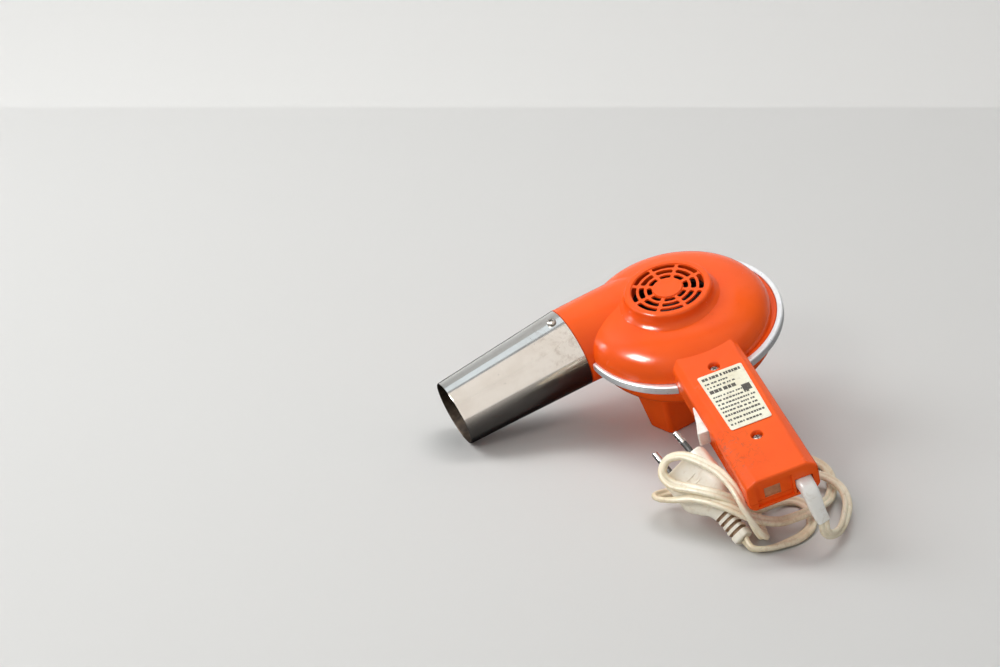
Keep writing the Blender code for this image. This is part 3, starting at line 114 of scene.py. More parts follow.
# Strain relief in the handle frame: places on its line, then half width and half height there
RELIEF_PATH = ((176.6, 11.4, 3.0), (186.0, 11.4, 2.6), (190.5, 11.8, 0.6), (194.0, 12.3, -4.5),
               (197.0, 13.1, -12.0), (198.8, 14.6, -18.6))
RELIEF_SIZE = ((6.0, 4.6), (5.3, 4.2), (5.2, 3.9), (4.9, 3.5), (4.5, 3.1), (4.1, 2.8))

# Plug: places from the point under the rim centre, then along, half width, half thickness
PLUG_TIPS = Vector((-18.0, -115.8, 42.8)) * MM
PLUG_TAIL = Vector((29.0, -172.0, 6.0)) * MM
PLUG_ACROSS = Vector((23.1, 1.6, 25.6))
PLUG_SECTIONS = ((19.0, 15.6, 5.4), (20.4, 17.0, 6.8), (42.0, 17.0, 6.8), (51.0, 12.0, 6.4),
                 (60.0, 6.2, 5.3), (80.6, 5.8, 4.9), (81.6, 5.0, 4.2))
GROOVE_START, GROOVE_END, GROOVE_STEP, GROOVES = 62.0, 64.2, 4.3, 4
PIN_SPACING, PIN_LENGTH, PIN_SHOULDER = 19.0 * MM, 19.0 * MM, 9.6 * MM

# Flat twin cord
CORD_WIDTH, CORE_RADIUS, CORE_SPREAD = 6.8 * MM, 1.75 * MM, 1.65 * MM
CORD_LEAN = radians(26)             # its flat side leans towards the front
CORD_ROUTE = (
    (77, -181, 16.7), (82, -176.5, 12.2), (88, -166, 9.5), (93, -151, 8.5), (97, -131, 8), (95, -113, 9),
    (86, -99, 9), (70, -94, 9), (52, -98, 9), (35, -105, 9), (18, -112, 9), (2, -117, 10), (-13, -123, 11),
    (-22, -131, 13), (-22, -142, 17), (-13, -150, 21), (-2, -155, 25), (9, -161, 26), (20, -167, 25),
    (31, -170, 21), (42, -165, 15), (52, -159, 11), (62, -152, 10), (72, -145, 10), (81, -134, 9),
    (87, -120, 4.5), (91, -104, 2.6), (92, -88, 2.6), (89, -74, 2.6), (80, -64, 2.6), (68, -63, 2.6),
    (56, -72, 2.6), (47, -88, 2.6), (42, -108, 2.6), (40, -127, 2.6), (40, -144, 2.8), (41, -159, 3.5),
    (41, -171, 7), (38, -179, 13), (32.5, -181, 22), (27, -178, 31), (23.5, -172, 37), (19, -164, 41),
    (12, -154, 44), (2, -146, 46), (-8, -139, 46), (-17, -135, 41), (-20, -138, 33), (-14, -145, 29),
    (-4, -151, 30), (6, -157, 31), (16, -161, 30), (26, -161, 25), (35, -155, 18), (42, -144, 12),
    (48, -131, 6.5), (57, -121, 3.2), (67, -120, 2.6), (73, -128, 2.6), (74, -141, 2.6), (71, -154, 2.6),
    (63, -165, 2.6), (52, -173, 2.6), (42, -177.5, 2.6), (33.5, -177.8, 3.0))

# Pose on the standing surface
REST_TURN = Euler((radians(7.0), radians(-16.7), radians(24.3)))
REST_PLACE = Vector((41.73, 58.49, 0.0)) * MM

# Camera and a sweep that is floor and backdrop in one
CAMERA_PLACE, CAMERA_TILT, CAMERA_LENS = (-0.07897, -1.37811, 0.7628), radians(64.0), 86.4
SWEEP_REACH, BEND_START, BEND_RADIUS, BEND_STEPS, SWEEP_TOP = 20.0, 0.9, 1.6, 24, 9.0
OBJECT_AIM, WALL_AIM = Vector((0.0, 0.0, 0.06)), Vector((0.0, 2.4, 0.9))

# Area lamps: place, width, height, watts, colour, aim, and whether only glossy surfaces see the lamp
# (if not, all but glossy surfaces do)
COOL_LIGHT, WARM_LIGHT = (0.95, 0.98, 1.0), (1.0, 0.99, 0.97)
LAMPS = (("key_lamp", (-1.30, 0.35, 1.25), 1.0, 0.9, 17.5, COOL_LIGHT, OBJECT_AIM, False),
         ("fill_lamp", (-0.95, -1.25, 1.30), 0.5, 0.4, 7.0, WARM_LIGHT, OBJECT_AIM, False),
         ("window_strip", (-1.50, 0.42, 0.50), 0.04, 0.46, 5.0, COOL_LIGHT, OBJECT_AIM, True),
         ("window_lamp", (-1.15, -0.46, 1.14), 0.50, 0.40, 48.0, WARM_LIGHT, OBJECT_AIM, True),
         ("top_lamp", (0.25, 0.25, 1.8), 1.0, 1.0, 3.5, WARM_LIGHT, OBJECT_AIM, False),
         ("wall_lamp", (0.0, 1.1, 3.2), 2.4, 1.0, 45.0, (1.0, 1.0, 1.0), WALL_AIM, False))

# Cards that only glossy surfaces see: place, turn about X, width, depth, colour, glow
DARK_CARD, WARM_CARD, COOL_CARD = (0.012, 0.011, 0.011), (0.72, 0.66, 0.60), (0.62, 0.67, 0.70)
CARDS = (("dark_card", (0.0, -0.35, 0.0002), 0.0, 3.2, 2.0, DARK_CARD, 0.0),
         ("front_card", (0.8, -2.4, 2.0), pi / 2, 5.0, 4.0, WARM_CARD, 0.9),
         ("ceiling_card", (0.2, -1.0, 3.0), 0.0, 6.0, 2.8, WARM_CARD, 1.0),
         ("window_card", (-1.6, 2.6, 3.0), 0.0, 4.0, 3.6, COOL_CARD, 1.0),
         ("back_card", (-2.4, 3.0, 1.6), pi / 2, 4.4, 2.8, COOL_CARD, 1.0))


# ---------------- frames
outlet_direction = Vector((-cos(OUTLET_DROOP), 0.0, -sin(OUTLET_DROOP)))
up_direction = REST_TURN.to_matrix().inverted() @ Vector((0, 0, 1))
lean = up_direction.dot(outlet_direction)
tube_tip = OUTLET_START + outlet_direction * TUBE_LENGTH
REST_HEIGHT = TIP_RADIUS * sqrt(1 - lean * lean) - up_direction.dot(tube_tip)
REST = Matrix.Translation(REST_PLACE + Vector((0, 0, REST_HEIGHT))) @ REST_TURN.to_matrix().to_4x4()
OUTLET = Matrix.Translation(OUTLET_START) @ Euler((0.0, -pi / 2 - OUTLET_DROOP, 0.0)).to_matrix().to_4x4()
HANDLE = Matrix.Rotation(HANDLE_ANGLE, 4, "Z")
FOOT = Matrix(((-cos(FOOT_ANGLE), sin(FOOT_ANGLE), 0, 0), (-sin(FOOT_ANGLE), -cos(FOOT_ANGLE), 0, 0),
               (0, 0, 1, 0), (0, 0, 0, 1)))


def plug_matrix():
    """From the plug's own frame (X across, Y through, Z from pins to tail) to the world."""
    along = (PLUG_TAIL - PLUG_TIPS).normalized()
    across = (PLUG_ACROSS - along * PLUG_ACROSS.dot(along)).normalized()
    through = along.cross(across)
    turn = Matrix((across, through, along)).transposed().to_4x4()
    return Matrix.Translation(PLUG_TIPS + REST_PLACE) @ turn


PLUG = plug_matrix()


# ---------------- camera, floor and light
def add_object(name, data, place=(0.0, 0.0, 0.0), turn=(0.0, 0.0, 0.0)):
    made = bpy.data.objects.new(name, data)
    made.location, made.rotation_euler = place, turn
    bpy.context.scene.collection.objects.link(made)
    return made


def gloss_card(name, place, tilt, width, depth, colour, glow):
    """Studio card that only glossy surfaces see: dark under the object, bright around it."""
    bm = bmesh.new()
    bmesh.ops.create_grid(bm, size=0.5)
    bm.transform(Matrix.Diagonal((width, depth, 1, 1)))
    mesh = bpy.data.meshes.new(name)
    bm.to_mesh(mesh)
    bm.free()
    tone = (*colour, 1.0)
    mesh.materials.append(Look(name + "_look", 0.25, Base_Color=tone, Emission_Color=tone,
                               Emission_Strength=glow).made)
    card = add_object(name, mesh, place, (tilt, 0.0, 0.0))
    for ray in ("visible_camera", "visible_diffuse", "visible_shadow", "visible_transmission"):
        setattr(card, ray, False)


def sweep():
    """Pale floor that bends up into the backdrop."""
    bm = bmesh.new()
    profile = [(-SWEEP_REACH, 0.0), (BEND_START, 0.0)]
    for i in range(1, BEND_STEPS + 1):
        turn = pi / 2 / BEND_STEPS * i
        profile.append((BEND_START + BEND_RADIUS * sin(turn), BEND_RADIUS - BEND_RADIUS * cos(turn)))
    profile.append((BEND_START + BEND_RADIUS, SWEEP_TOP))
    rows = [[bm.verts.new((x, y, z)) for x in (-SWEEP_REACH, SWEEP_REACH)] for y, z in profile]
    for first, second in zip(rows, rows[1:]):
        bm.faces.new((first[0], first[1], second[1], second[0]))
    mesh = bpy.data.meshes.new("studio_sweep")
    bm.to_mesh(mesh)
    bm.free()
    mesh.shade_smooth()
    mesh.materials.append(Look("floor_look", 0.42, Base_Color=(0.66, 0.65, 0.63, 1.0)).made)
    add_object("studio_sweep", mesh)


def studio():
    scene = bpy.context.scene
    scene.view_settings.view_transform = "Standard"
    camera_data = bpy.data.cameras.new("camera")
    camera_data.lens = CAMERA_LENS
    camera_data.sensor_width = 36.0
    scene.camera = add_object("camera", camera_data, CAMERA_PLACE, (CAMERA_TILT, 0.0, 0.0))
    sweep()
    for name, place, width, height, power, colour, aim, only_in_gloss in LAMPS:
        data = bpy.data.lights.new(name, "AREA")
        data.shape = "RECTANGLE"
        data.size, data.size_y = width, height
        data.energy = power
        data.color = colour
        turn = (aim - Vector(place)).to_track_quat("-Z", "Y").to_euler()
        lamp = add_object(name, data, place, turn)
        lamp.visible_glossy = only_in_gloss
        lamp.visible_diffuse = not only_in_gloss
    for card in CARDS:
        gloss_card(*card)
    world = bpy.data.worlds.new("studio_world")
    world.use_nodes = True
    world.node_tree.nodes["Background"].inputs["Color"].default_value = (0.95, 0.97, 1.0, 1.0)
    world.node_tree.nodes["Background"].inputs["Strength"].default_value = 0.38
    scene.world = world


# ---------------- materials
class Look:
    """A node material under construction, in the piece's own coordinates (metres)."""

    def __init__(self, name, roughness=0.5, metallic=0.0, **sockets):
        self.made = bpy.data.materials.new(name)
        self.made.use_nodes = True
        self.tree = self.made.node_tree
        self.shader = self.tree.nodes["Principled BSDF"]
        self.shader.inputs["Roughness"].default_value = roughness
        self.shader.inputs["Metallic"].default_value = metallic
        for socket, value in sockets.items():
            self.shader.inputs[socket.replace("_", " ")].default_value = value
        self.place = self.node("TexCoord").outputs["Object"]

    def node(self, kind, feeds=None, **values):
        """New node with its settings; each feed is a plain value or another node's output."""
        made = self.tree.nodes.new("ShaderNode" + kind)
        for key, value in values.items():
            setattr(made, key, value)
        for key, value in (feeds or {}).items():
            if isinstance(value, bpy.types.NodeSocket):
                self.tree.links.new(value, made.inputs[key])
            else:
                made.inputs[key].default_value = value
        return made

    def stretched(self, turn, scale):
        made = self.node("Mapping", {"Vector": self.place, "Rotation": turn, "Scale": scale})
        return made.outputs["Vector"]

    def noise(self, size, detail=3.0, roughness=0.55, place=None, warp=0.0):
        """Noise with features about that size, in metres."""
        feeds = {"Vector": place or self.place, "Scale": 1.0 / size, "Detail": detail,
                 "Roughness": roughness, "Distortion": warp}
        return self.node("TexNoise", feeds).outputs["Fac"]

    def patches(self, size, low, high, detail=3.0, roughness=0.55, warp=0.0, to=(0.0, 1.0)):
        """Noise between two levels, spread over the two end values."""
        return self.span(self.noise(size, detail, roughness, warp=warp), low, high, *to)

    def specks(self, size, reach):
        """Scattered dots: high near random points."""
        made = self.node("TexVoronoi", {"Vector": self.place, "Scale": 1.0 / size})
        return self.span(made.outputs["Distance"], reach, 0.0)

    def span(self, value, low, high, to_low=0.0, to_high=1.0):
        feeds = {"Value": value, "From Min": low, "From Max": high, "To Min": to_low, "To Max": to_high}
        return self.node("MapRange", feeds, clamp=True).outputs["Result"]

    def sum(self, *values, kind="ADD"):
        total = values[0]
        for value in values[1:]:
            total = self.node("Math", {0: total, 1: value}, operation=kind).outputs[0]
        return total

    def times(self, *values):
        return self.sum(*values, kind="MULTIPLY")

    def near(self, point, inner, outer):
        """1 within inner of a world point at rest, 0 beyond outer."""
        made = self.node("VectorMath", {0: self.place, 1: point}, operation="DISTANCE")
        return self.span(made.outputs["Value"], outer, inner)

    def colours(self, factor, *stops):
        ramp = self.node("ValToRGB", {"Fac": factor})
        while len(ramp.color_ramp.elements) < len(stops):
            ramp.color_ramp.elements.new(0.5)
        for element, (position, colour) in zip(ramp.color_ramp.elements, stops):
            element.position = position
            element.color = (*colour, 1.0)
        return ramp.outputs["Color"]

    def mix(self, factor, first, second):
        """From first to second, each a colour or a node's output."""
        sides = [(*side, 1.0) if isinstance(side, tuple) else side for side in (first, second)]
        return self.node("Mix", {"Factor": factor, 6: sides[0], 7: sides[1]}, data_type="RGBA").outputs[2]

    def bump(self, height, strength, distance):
        made = self.node("Bump", {"Height": height, "Strength": strength, "Distance": distance})
        self.tree.links.new(made.outputs["Normal"], self.shader.inputs["Normal"])

    def colour(self, source):
        self.tree.links.new(source, self.shader.inputs["Base Color"])

    def rough(self, source):
        self.tree.links.new(source, self.shader.inputs["Roughness"])


def orange_look():
    look = Look("orange_look", Specular_IOR_Level=0.2, Coat_Weight=0.10, Coat_Roughness=0.06)
    broad = look.colours(look.noise(0.045), (0.3, (0.90, 0.094, 0.0070)), (0.7, (0.96, 0.116, 0.0095)))
    dirt = look.times(look.patches(0.006, 0.60, 0.78, 8.0, 0.7), 0.35)
    wall = HANDLE @ Vector((150 * MM, HANDLE_OFFSET - HANDLE_HALF, 2 * MM))
    worn = look.near(REST @ wall, 0.004, 0.034)
    scuffs = look.times(look.patches(0.0035, 0.50, 0.66, 6.0, 0.75, 1.0), worn, 0.75)
    look.colour(look.mix(scuffs, look.mix(dirt, broad, (0.50, 0.052, 0.006)), (0.10, 0.022, 0.010)))
    hair = look.noise(0.0006, 2.0, place=look.stretched((0.3, 0.2, 0.5), (1.0, 0.06, 1.0)))
    scratches = look.times(look.span(hair, 0.70, 0.78), look.patches(0.03, 0.45, 0.65, 2.0))
    haze = look.patches(0.012, 0.35, 0.75, 5.0, to=(0.15, 0.29))
    look.rough(look.sum(haze, look.times(scratches, 0.25), look.times(scuffs, 0.3)))
    look.bump(look.noise(0.0022, 2.0), 0.05, 0.00012)
    return look.made


def chrome_look():
    look = Look("chrome_look", metallic=1.0)
    collar = look.near(REST @ (OUTLET_START + Vector((0, 0, -8 * MM))), 0.030, 0.048)
    smudge = look.times(look.patches(0.005, 0.50, 0.72, 7.0, 0.7, 0.3), collar, 0.5)
    film = look.patches(0.02, 0.45, 0.7, 5.0, 0.6)
    clean = look.mix(film, (0.74, 0.735, 0.72), (0.69, 0.675, 0.65))
    pits = look.times(look.specks(0.0042, 0.085), look.patches(0.02, 0.5, 0.6, 2.0))
    look.colour(look.mix(pits, look.mix(smudge, clean, (0.23, 0.13, 0.065)), (0.10, 0.075, 0.05)))
    hair = look.noise(0.0005, 2.0, place=look.stretched((0.0, 0.4, 0.42), (0.05, 1.0, 1.0)))
    haze = look.patches(0.009, 0.3, 0.75, 6.0, to=(0.09, 0.16))
    look.rough(look.sum(haze, look.span(hair, 0.64, 0.78, 0.0, 0.10), look.times(smudge, 0.25)))
    look.bump(look.noise(0.016, 2.0), 0.05, 0.0002)
    return look.made


def scorched_look():
    look = Look("scorched_look", metallic=0.9)
    heat = look.noise(0.011, 5.0, 0.65, warp=0.6)
    look.colour(look.colours(heat, (0.3, (0.035, 0.030, 0.028)), (0.55, (0.11, 0.085, 0.065)),
                             (0.75, (0.21, 0.17, 0.13))))
    look.rough(look.patches(0.003, 0.3, 0.7, 5.0, to=(0.35, 0.6)))
    look.bump(look.noise(0.0015, 4.0), 0.15, 0.0001)
    return look.made


def metal_look(name, bright, dull, smooth, rough, size=0.004, metallic=1.0):
    """Worn metal: two tones, fine brushing and a little pitting."""
    look = Look(name + "_look", metallic=metallic)
    tone = look.noise(size, 6.0, 0.65)
    pits = look.specks(size * 0.35, 0.16)
    dark = tuple(channel * 0.35 for channel in dull)
    worn = look.times(pits, look.patches(size * 3, 0.5, 0.65, 2.0))
    look.colour(look.mix(worn, look.colours(tone, (0.35, bright), (0.68, dull)), dark))
    grain = look.noise(size * 0.1, 3.0, place=look.stretched((0.2, 0.5, 0.4), (0.1, 1.0, 1.0)))
    look.rough(look.sum(look.span(tone, 0.3, 0.7, smooth, rough), look.span(grain, 0.4, 0.8, 0.0, 0.12)))
    look.bump(grain, 0.12, 0.00006)
    return look.made


def plastic_look(name, clean, aged, grime, smooth, rough, size=0.006, dirt=0.5):
    """Moulded plastic: broad tone shift, grime in patches and a fine moulded grain."""
    look = Look(name + "_look")
    tone = look.colours(look.noise(size * 3), (0.35, clean), (0.7, aged))
    stain = look.times(look.patches(size, 0.52, 0.75, 7.0, 0.7, 0.8), dirt)
    look.colour(look.mix(stain, tone, grime))
    look.rough(look.sum(look.patches(size, 0.3, 0.7, 4.0, to=(smooth, rough)), look.times(stain, 0.2)))
    look.bump(look.noise(0.0006), 0.1, 0.00008)
    return look.made


def cord_look():
    look = Look("cord_look", Subsurface_Weight=0.05, Subsurface_Scale=0.002)
    tone = look.colours(look.noise(0.03), (0.35, (0.89, 0.81, 0.63)), (0.65, (0.82, 0.70, 0.49)))
    handled = look.times(look.patches(0.008, 0.50, 0.72, 7.0, 0.7, 1.0), 0.55)
    specks = look.times(look.specks(0.003, 0.10), look.patches(0.012, 0.5, 0.62, 2.0))
    look.colour(look.mix(specks, look.mix(handled, tone, (0.56, 0.40, 0.22)), (0.20, 0.13, 0.08)))
    look.rough(look.patches(0.004, 0.3, 0.7, 5.0, to=(0.32, 0.52)))
    look.bump(look.noise(0.0011, 4.0), 0.18, 0.00012)
    return look.made


def label_look():
    look = Look("label_look", metallic=0.25)
    tone = look.colours(look.noise(0.02, 4.0), (0.35, (0.88, 0.85, 0.71)), (0.7, (0.80, 0.75, 0.58)))
    rubbed = look.times(look.patches(0.0035, 0.53, 0.74, 8.0, 0.75), 0.6)
    look.colour(look.mix(rubbed, tone, (0.46, 0.38, 0.25)))
    look.rough(look.patches(0.004, 0.3, 0.7, 5.0, to=(0.34, 0.55)))
    look.bump(look.noise(0.0009), 0.12, 0.00006)
    return look.made


ORANGE = orange_look()
CHROME = chrome_look()
SCORCHED = scorched_look()
BAND = metal_look("band", (0.95, 0.97, 1.0), (0.84, 0.85, 0.85), 0.24, 0.40, 0.006, 0.55)
STEEL = metal_look("steel", (0.66, 0.64, 0.60), (0.42, 0.39, 0.35), 0.28, 0.45)
BRASS = metal_look("brass", (0.70, 0.48, 0.20), (0.42, 0.27, 0.11), 0.28, 0.45)
COPPER = metal_look("copper", (0.72, 0.33, 0.16), (0.42, 0.17, 0.08), 0.30, 0.50, 0.003)
IRON = metal_look("iron", (0.20, 0.19, 0.19), (0.10, 0.09, 0.085), 0.45, 0.65, 0.003, 0.8)
CARBON = plastic_look("carbon", (0.05, 0.05, 0.05), (0.08, 0.08, 0.08), (0.12, 0.12, 0.11), 0.5, 0.7)
MICA = plastic_look("mica", (0.58, 0.49, 0.34), (0.46, 0.36, 0.22), (0.22, 0.15, 0.09), 0.3, 0.6, 0.004,
                    0.7)
BLACK = plastic_look("black", (0.028, 0.027, 0.026), (0.045, 0.042, 0.040), (0.10, 0.08, 0.06),
                     0.38, 0.6)
WIRE = plastic_look("wire", (0.035, 0.033, 0.032), (0.06, 0.05, 0.05), (0.12, 0.10, 0.08), 0.35, 0.5)
WHITE = plastic_look("white", (0.95, 0.94, 0.90), (0.92, 0.90, 0.83), (0.50, 0.40, 0.26), 0.28, 0.45,
                     0.007, 0.45)
PLUG_CREAM = plastic_look("plug", (0.93, 0.89, 0.78), (0.88, 0.81, 0.66), (0.55, 0.40, 0.24), 0.30,
                          0.48, 0.006, 0.4)
# Dark browns that paint shade on the plug tail's groove faces; the patches on top are grime.
GROOVE_SHADE = plastic_look("groove", (0.55, 0.38, 0.24), (0.40, 0.26, 0.15), (0.14, 0.09, 0.05), 0.6, 0.8, 0.002)
INK = plastic_look("ink", (0.045, 0.04, 0.035), (0.09, 0.08, 0.06), (0.45, 0.40, 0.28), 0.5, 0.7,
                   0.0012, 0.45)
DUSTY = plastic_look("dusty", (0.62, 0.27, 0.13), (0.52, 0.19, 0.08), (0.30, 0.12, 0.06), 0.5, 0.7, 0.003)
CORD_LOOK = cord_look()
LABEL_LOOK = label_look()
SLOT_LOOKS = {"orange_plastic": ORANGE, "chrome": CHROME, "band_metal": BAND, "steel": STEEL,
              "brass": BRASS, "copper": COPPER, "iron": IRON, "white_plastic": WHITE,
              "cord_plastic": CORD_LOOK, "mica": MICA, "black_plastic": BLACK, "carbon": CARBON,
              "label": LABEL_LOOK, "wire_black": WIRE}


# ---------------- mesh helpers
def link(name, bm, looks, matrix, angle=32):
    """Put a mesh in the scene, in the world frame, with smooth shading up to an angle."""
    bm.transform(matrix)
    mesh = bpy.data.meshes.new(name)
    bm.to_mesh(mesh)
    bm.free()
    mesh.shade_smooth()
    mesh.set_sharp_from_angle(angle=radians(angle))
    for look in looks:
        mesh.materials.append(look)
    return add_object(name, mesh)


def finish_piece(piece, slot, *nodes, body="casing"):
    """Ride the piece on its body and hide the nodes it stands for. The slot is not used."""
    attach(piece, body)
    if nodes:
        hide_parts(*nodes)
    return piece


def plain(node, slot, bm, look, matrix, angle=40):
    """Finished piece for a node, from one mesh with one look."""
    return finish_piece(link(node + "_finish", bm, [look], matrix, angle), slot, node)


def turned(profile, steps, at=(0.0, 0.0), closed=False, twist=0.0):
    """Profile of (radius, height), top to bottom on its outer side, turned about Z. A small twist keeps
    its corners off those of a solid it is joined with."""
    bm = bmesh.new()
    turns = [2 * pi * i / steps + twist for i in range(steps)]
    rings = []
    for radius, height in profile:
        rings.append([bm.verts.new((at[0] + radius * cos(turn), at[1] + radius * sin(turn), height))
                      for turn in (turns if radius > 1e-6 else turns[:1])])
    pairs = list(zip(rings, rings[1:])) + ([(rings[-1], rings[0])] if closed else [])
    for upper, lower in pairs:
        for i in range(steps):
            j = (i + 1) % steps
            corners = [upper[i % len(upper)], lower[i % len(lower)], lower[j % len(lower)],
                       upper[j % len(upper)]]
            corners = list(dict.fromkeys(corners))
            if len(corners) > 2:
                bm.faces.new(corners)
    bmesh.ops.recalc_face_normals(bm, faces=bm.faces)
    return bm


def lofted(sections, matrix=None):
    """Closed solid through loops of equal point count."""
    bm = bmesh.new()
    loops = [[bm.verts.new(point) for point in section] for section in sections]
    count = len(loops[0])
    for first, second in zip(loops, loops[1:]):
        for i in range(count):
            bm.faces.new((first[i], first[(i + 1) % count], second[(i + 1) % count], second[i]))
    bm.faces.new(loops[0])
    bm.faces.new(loops[-1])
    if matrix:
        bm.transform(matrix)
    bmesh.ops.recalc_face_normals(bm, faces=bm.faces)
    return bm


def block(low, high, matrix=None, bevel=0.0, segments=3):
    bm = bmesh.new()
    bmesh.ops.create_cube(bm, size=1.0)
    low, high = Vector(low), Vector(high)
    for vertex in bm.verts:
        vertex.co = Vector([(low[i] + high[i]) / 2 + vertex.co[i] * (high[i] - low[i]) for i in range(3)])
    if bevel:
        bmesh.ops.bevel(bm, geom=bm.edges[:], offset=bevel, segments=segments, profile=0.5, affect="EDGES")
    if matrix:
        bm.transform(matrix)
    return bm


def drum(radius, low, high, at=(0.0, 0.0), steps=32, matrix=None):
    bm = turned([(0.0, high), (radius, high), (radius, low), (0.0, low)], steps, at)
    if matrix:
        bm.transform(matrix)
    return bm


def joined(solids):
    """One mesh that holds all the solids."""
    whole = bmesh.new()
    for solid in solids:
        spare = bpy.data.meshes.new("spare")
        solid.to_mesh(spare)
        solid.free()
        whole.from_mesh(spare)
        bpy.data.meshes.remove(spare)
    return whole


def add(*solids):
    return [("UNION", solid) for solid in solids]


def cut(*solids):
    """Cutting steps. A solid may come with the look of the faces it cuts: (solid, look)."""
    return [("DIFFERENCE", solid) for solid in solids]


def shaped(node, slot, base, steps, looks, matrix=REST, angle=32, body="casing"):
    """Finished piece for a node: a base solid with the steps from add() and cut() solved on it."""
    made = link(node + "_finish", base, looks, matrix)
    tools = []
    for operation, solid in steps:
        look = looks[0]
        if isinstance(solid, tuple):
            solid, look = solid
        tool = link(node + "_tool", solid, [look], matrix)
        step = made.modifiers.new(operation.lower(), "BOOLEAN")
        step.operation = operation
        step.solver = "EXACT"
        step.material_mode = "TRANSFER"
        step.object = tool
        tools.append(tool)
    bpy.context.view_layer.update()
    evaluated = made.evaluated_get(bpy.context.evaluated_depsgraph_get())
    mesh = bpy.data.meshes.new_from_object(evaluated)
    made.modifiers.clear()
    made.data = mesh
    mesh.name = made.name
    mesh.shade_smooth()
    mesh.set_sharp_from_angle(angle=radians(angle))
    for tool in tools:
        bpy.data.objects.remove(tool)
    normals = made.modifiers.new("even_normals", "WEIGHTED_NORMAL")
    normals.keep_sharp = True
    return finish_piece(made, slot, node, body=body)


def spline(points, per_span):
    """Points along a smooth curve through the route's own points."""
    points = [Vector(point) for point in points]
    padded = [2 * points[0] - points[1]] + points + [2 * points[-1] - points[-2]]
    path = []
    for before, start, end, after in zip(padded, padded[1:], padded[2:], padded[3:]):
        path += interpolate_bezier(start, start + (end - before) / 6, end - (after - start) / 6, end,
                                   per_span + 1)[:-1]
    return path + [points[-1]]


def dome_curve(radius, height, round_z, round_r, steps, foot=0.0):
    points = []
    for i in range(steps + 1):
        turn = pi / 2 * (1 - i / steps)
        point = (radius * cos(turn) ** (2 / round_r), height * sin(turn) ** (2 / round_z))
        if point[1] > foot:
            points.append(point)
    points[0] = (0.0, height)
    return points


def arc(centre, radius, start, end, steps):
    """Points on a circle, angles in degrees."""
    turns = [radians(start + (end - start) * i / steps) for i in range(steps + 1)]
    return [(centre[0] + radius * cos(turn), centre[1] + radius * sin(turn)) for turn in turns]


def rounded(corners, reach, steps=5):
    """Polygon with each corner replaced by a smooth bend that starts that far from it."""
    points = []
    for i, corner in enumerate(corners):
        before, after = Vector(corners[i - 1]), Vector(corners[(i + 1) % len(corners)])
        corner = Vector(corner)
        start = corner + (before - corner).normalized() * reach[i]
        end = corner + (after - corner).normalized() * reach[i]
        for step in range(steps + 1):
            share = step / steps
            points.append(start.lerp(corner, share).lerp(corner.lerp(end, share), share))
    return points


def tube_radius(along):
    return OUTLET_RADIUS + (TIP_RADIUS - OUTLET_RADIUS) * along / TUBE_LENGTH


# ---------------- shells
def neck(inset, start_x, steps=96):
    """Outlet neck: ellipses from inside the disc to the tube's body end."""
    stations = [(start_x, NECK_STATIONS[0][1] * MM, NECK_STATIONS[0][2] * MM)]
    stations += [tuple(value * MM for value in station) for station in NECK_STATIONS[1:]]
    end_x = OUTLET_START.x if inset == 0 else OUTLET_START.x - 1.0 * MM
    stations.append((end_x, OUTLET_RADIUS, OUTLET_RADIUS))
    fine = spline(stations, 5)
    sections = []
    for x, half_y, half_z in fine:
        share = min(max((NECK_BEND - x) / (NECK_BEND - end_x), 0.0), 1.0)
        tilt = OUTLET_DROOP * share
        loop = []
        for i in range(steps):
            turn = 2 * pi * i / steps
            rise = (half_z - inset) * sin(turn)
            loop.append((x - rise * sin(tilt), OUTLET_START.y + (half_y - inset) * cos(turn),
                         rise * cos(tilt)))
        sections.append(loop)
    return lofted(sections)


def spigot(inset, start, length):
    clearance = TUBE_SHEET + 1.3 * GAP
    bm = turned([(0.0, length), (tube_radius(length) - clearance - inset, length),
                 (tube_radius(start) - clearance - inset, start), (0.0, start)], 64,
                twist=0.02 if inset else 0.0)
    bm.transform(OUTLET)
    return bm


def handle(inset, start, end):
    """Handle body with rounded bevels and a rounded end."""
    round_end = 1.6 * MM
    stations = [(start, 0.0)]
    if inset == 0:
        stations += [(end - round_end + round_end * sin(pi / 12 * i), round_end * (1 - cos(pi / 12 * i)))
                     for i in range(7)]
    else:
        stations.append((end, 0.0))
    sections = []
    for along, shrink in stations:
        share = min(max((along - TAPER_START) / (HANDLE_END - TAPER_START), 0.0), 1.0)
        face_half = (FACE_HALF - FACE_TAPER * share) * MM
        trim = inset + shrink
        half_section = ((face_half - trim * 0.5, HANDLE_TOP - trim),
                        (HANDLE_HALF - trim, 13.0 * MM - trim * 0.6),
                        (HANDLE_HALF - trim, -2.5 * MM + trim * 0.6),
                        (HANDLE_HALF - 3.5 * MM - trim * 0.5, HANDLE_BACK + trim))
        right = [(HANDLE_OFFSET + across, height) for across, height in half_section]
        left = [(HANDLE_OFFSET - across, height) for across, height in reversed(half_section)]
        reach = [value * MM for value in (1.6, 2.2, 1.4, 1.4)]
        loop = rounded(right + left, reach + reach[::-1])
        sections.append([(along, point.x, point.y) for point in loop])
    return lofted(sections, HANDLE)


def seam_block(low, high):
    return block((-0.3, -0.3, low), (0.3, 0.3, high))


def handle_cuts():
    """Recess in the end wall with its blind pocket, cord exit and switch opening."""
    boxes = (((-1.8, -19.5, -3.5), (2, 4.0, 13.0)), ((-2.8, -14.0, 0.9), (2, -3.5, 8.5)),
             ((-8, 5.6, -2.9), (2, 17.2, 7.7)))
    recess, pocket, cord_exit = [
        block(*[(HANDLE_END + along * MM, across * MM, up * MM) for along, across, up in box], HANDLE)
        for box in boxes]
    switch = block((ROCKER_ALONG - ROCKER_HALF - 0.6 * MM, -30 * MM, -0.5 * MM),
                   (ROCKER_ALONG + ROCKER_HALF + 1.9 * MM, -22 * MM, ROCKER_HIGH + GAP), HANDLE)
    return cut(recess, (pocket, DUSTY), cord_exit, switch)


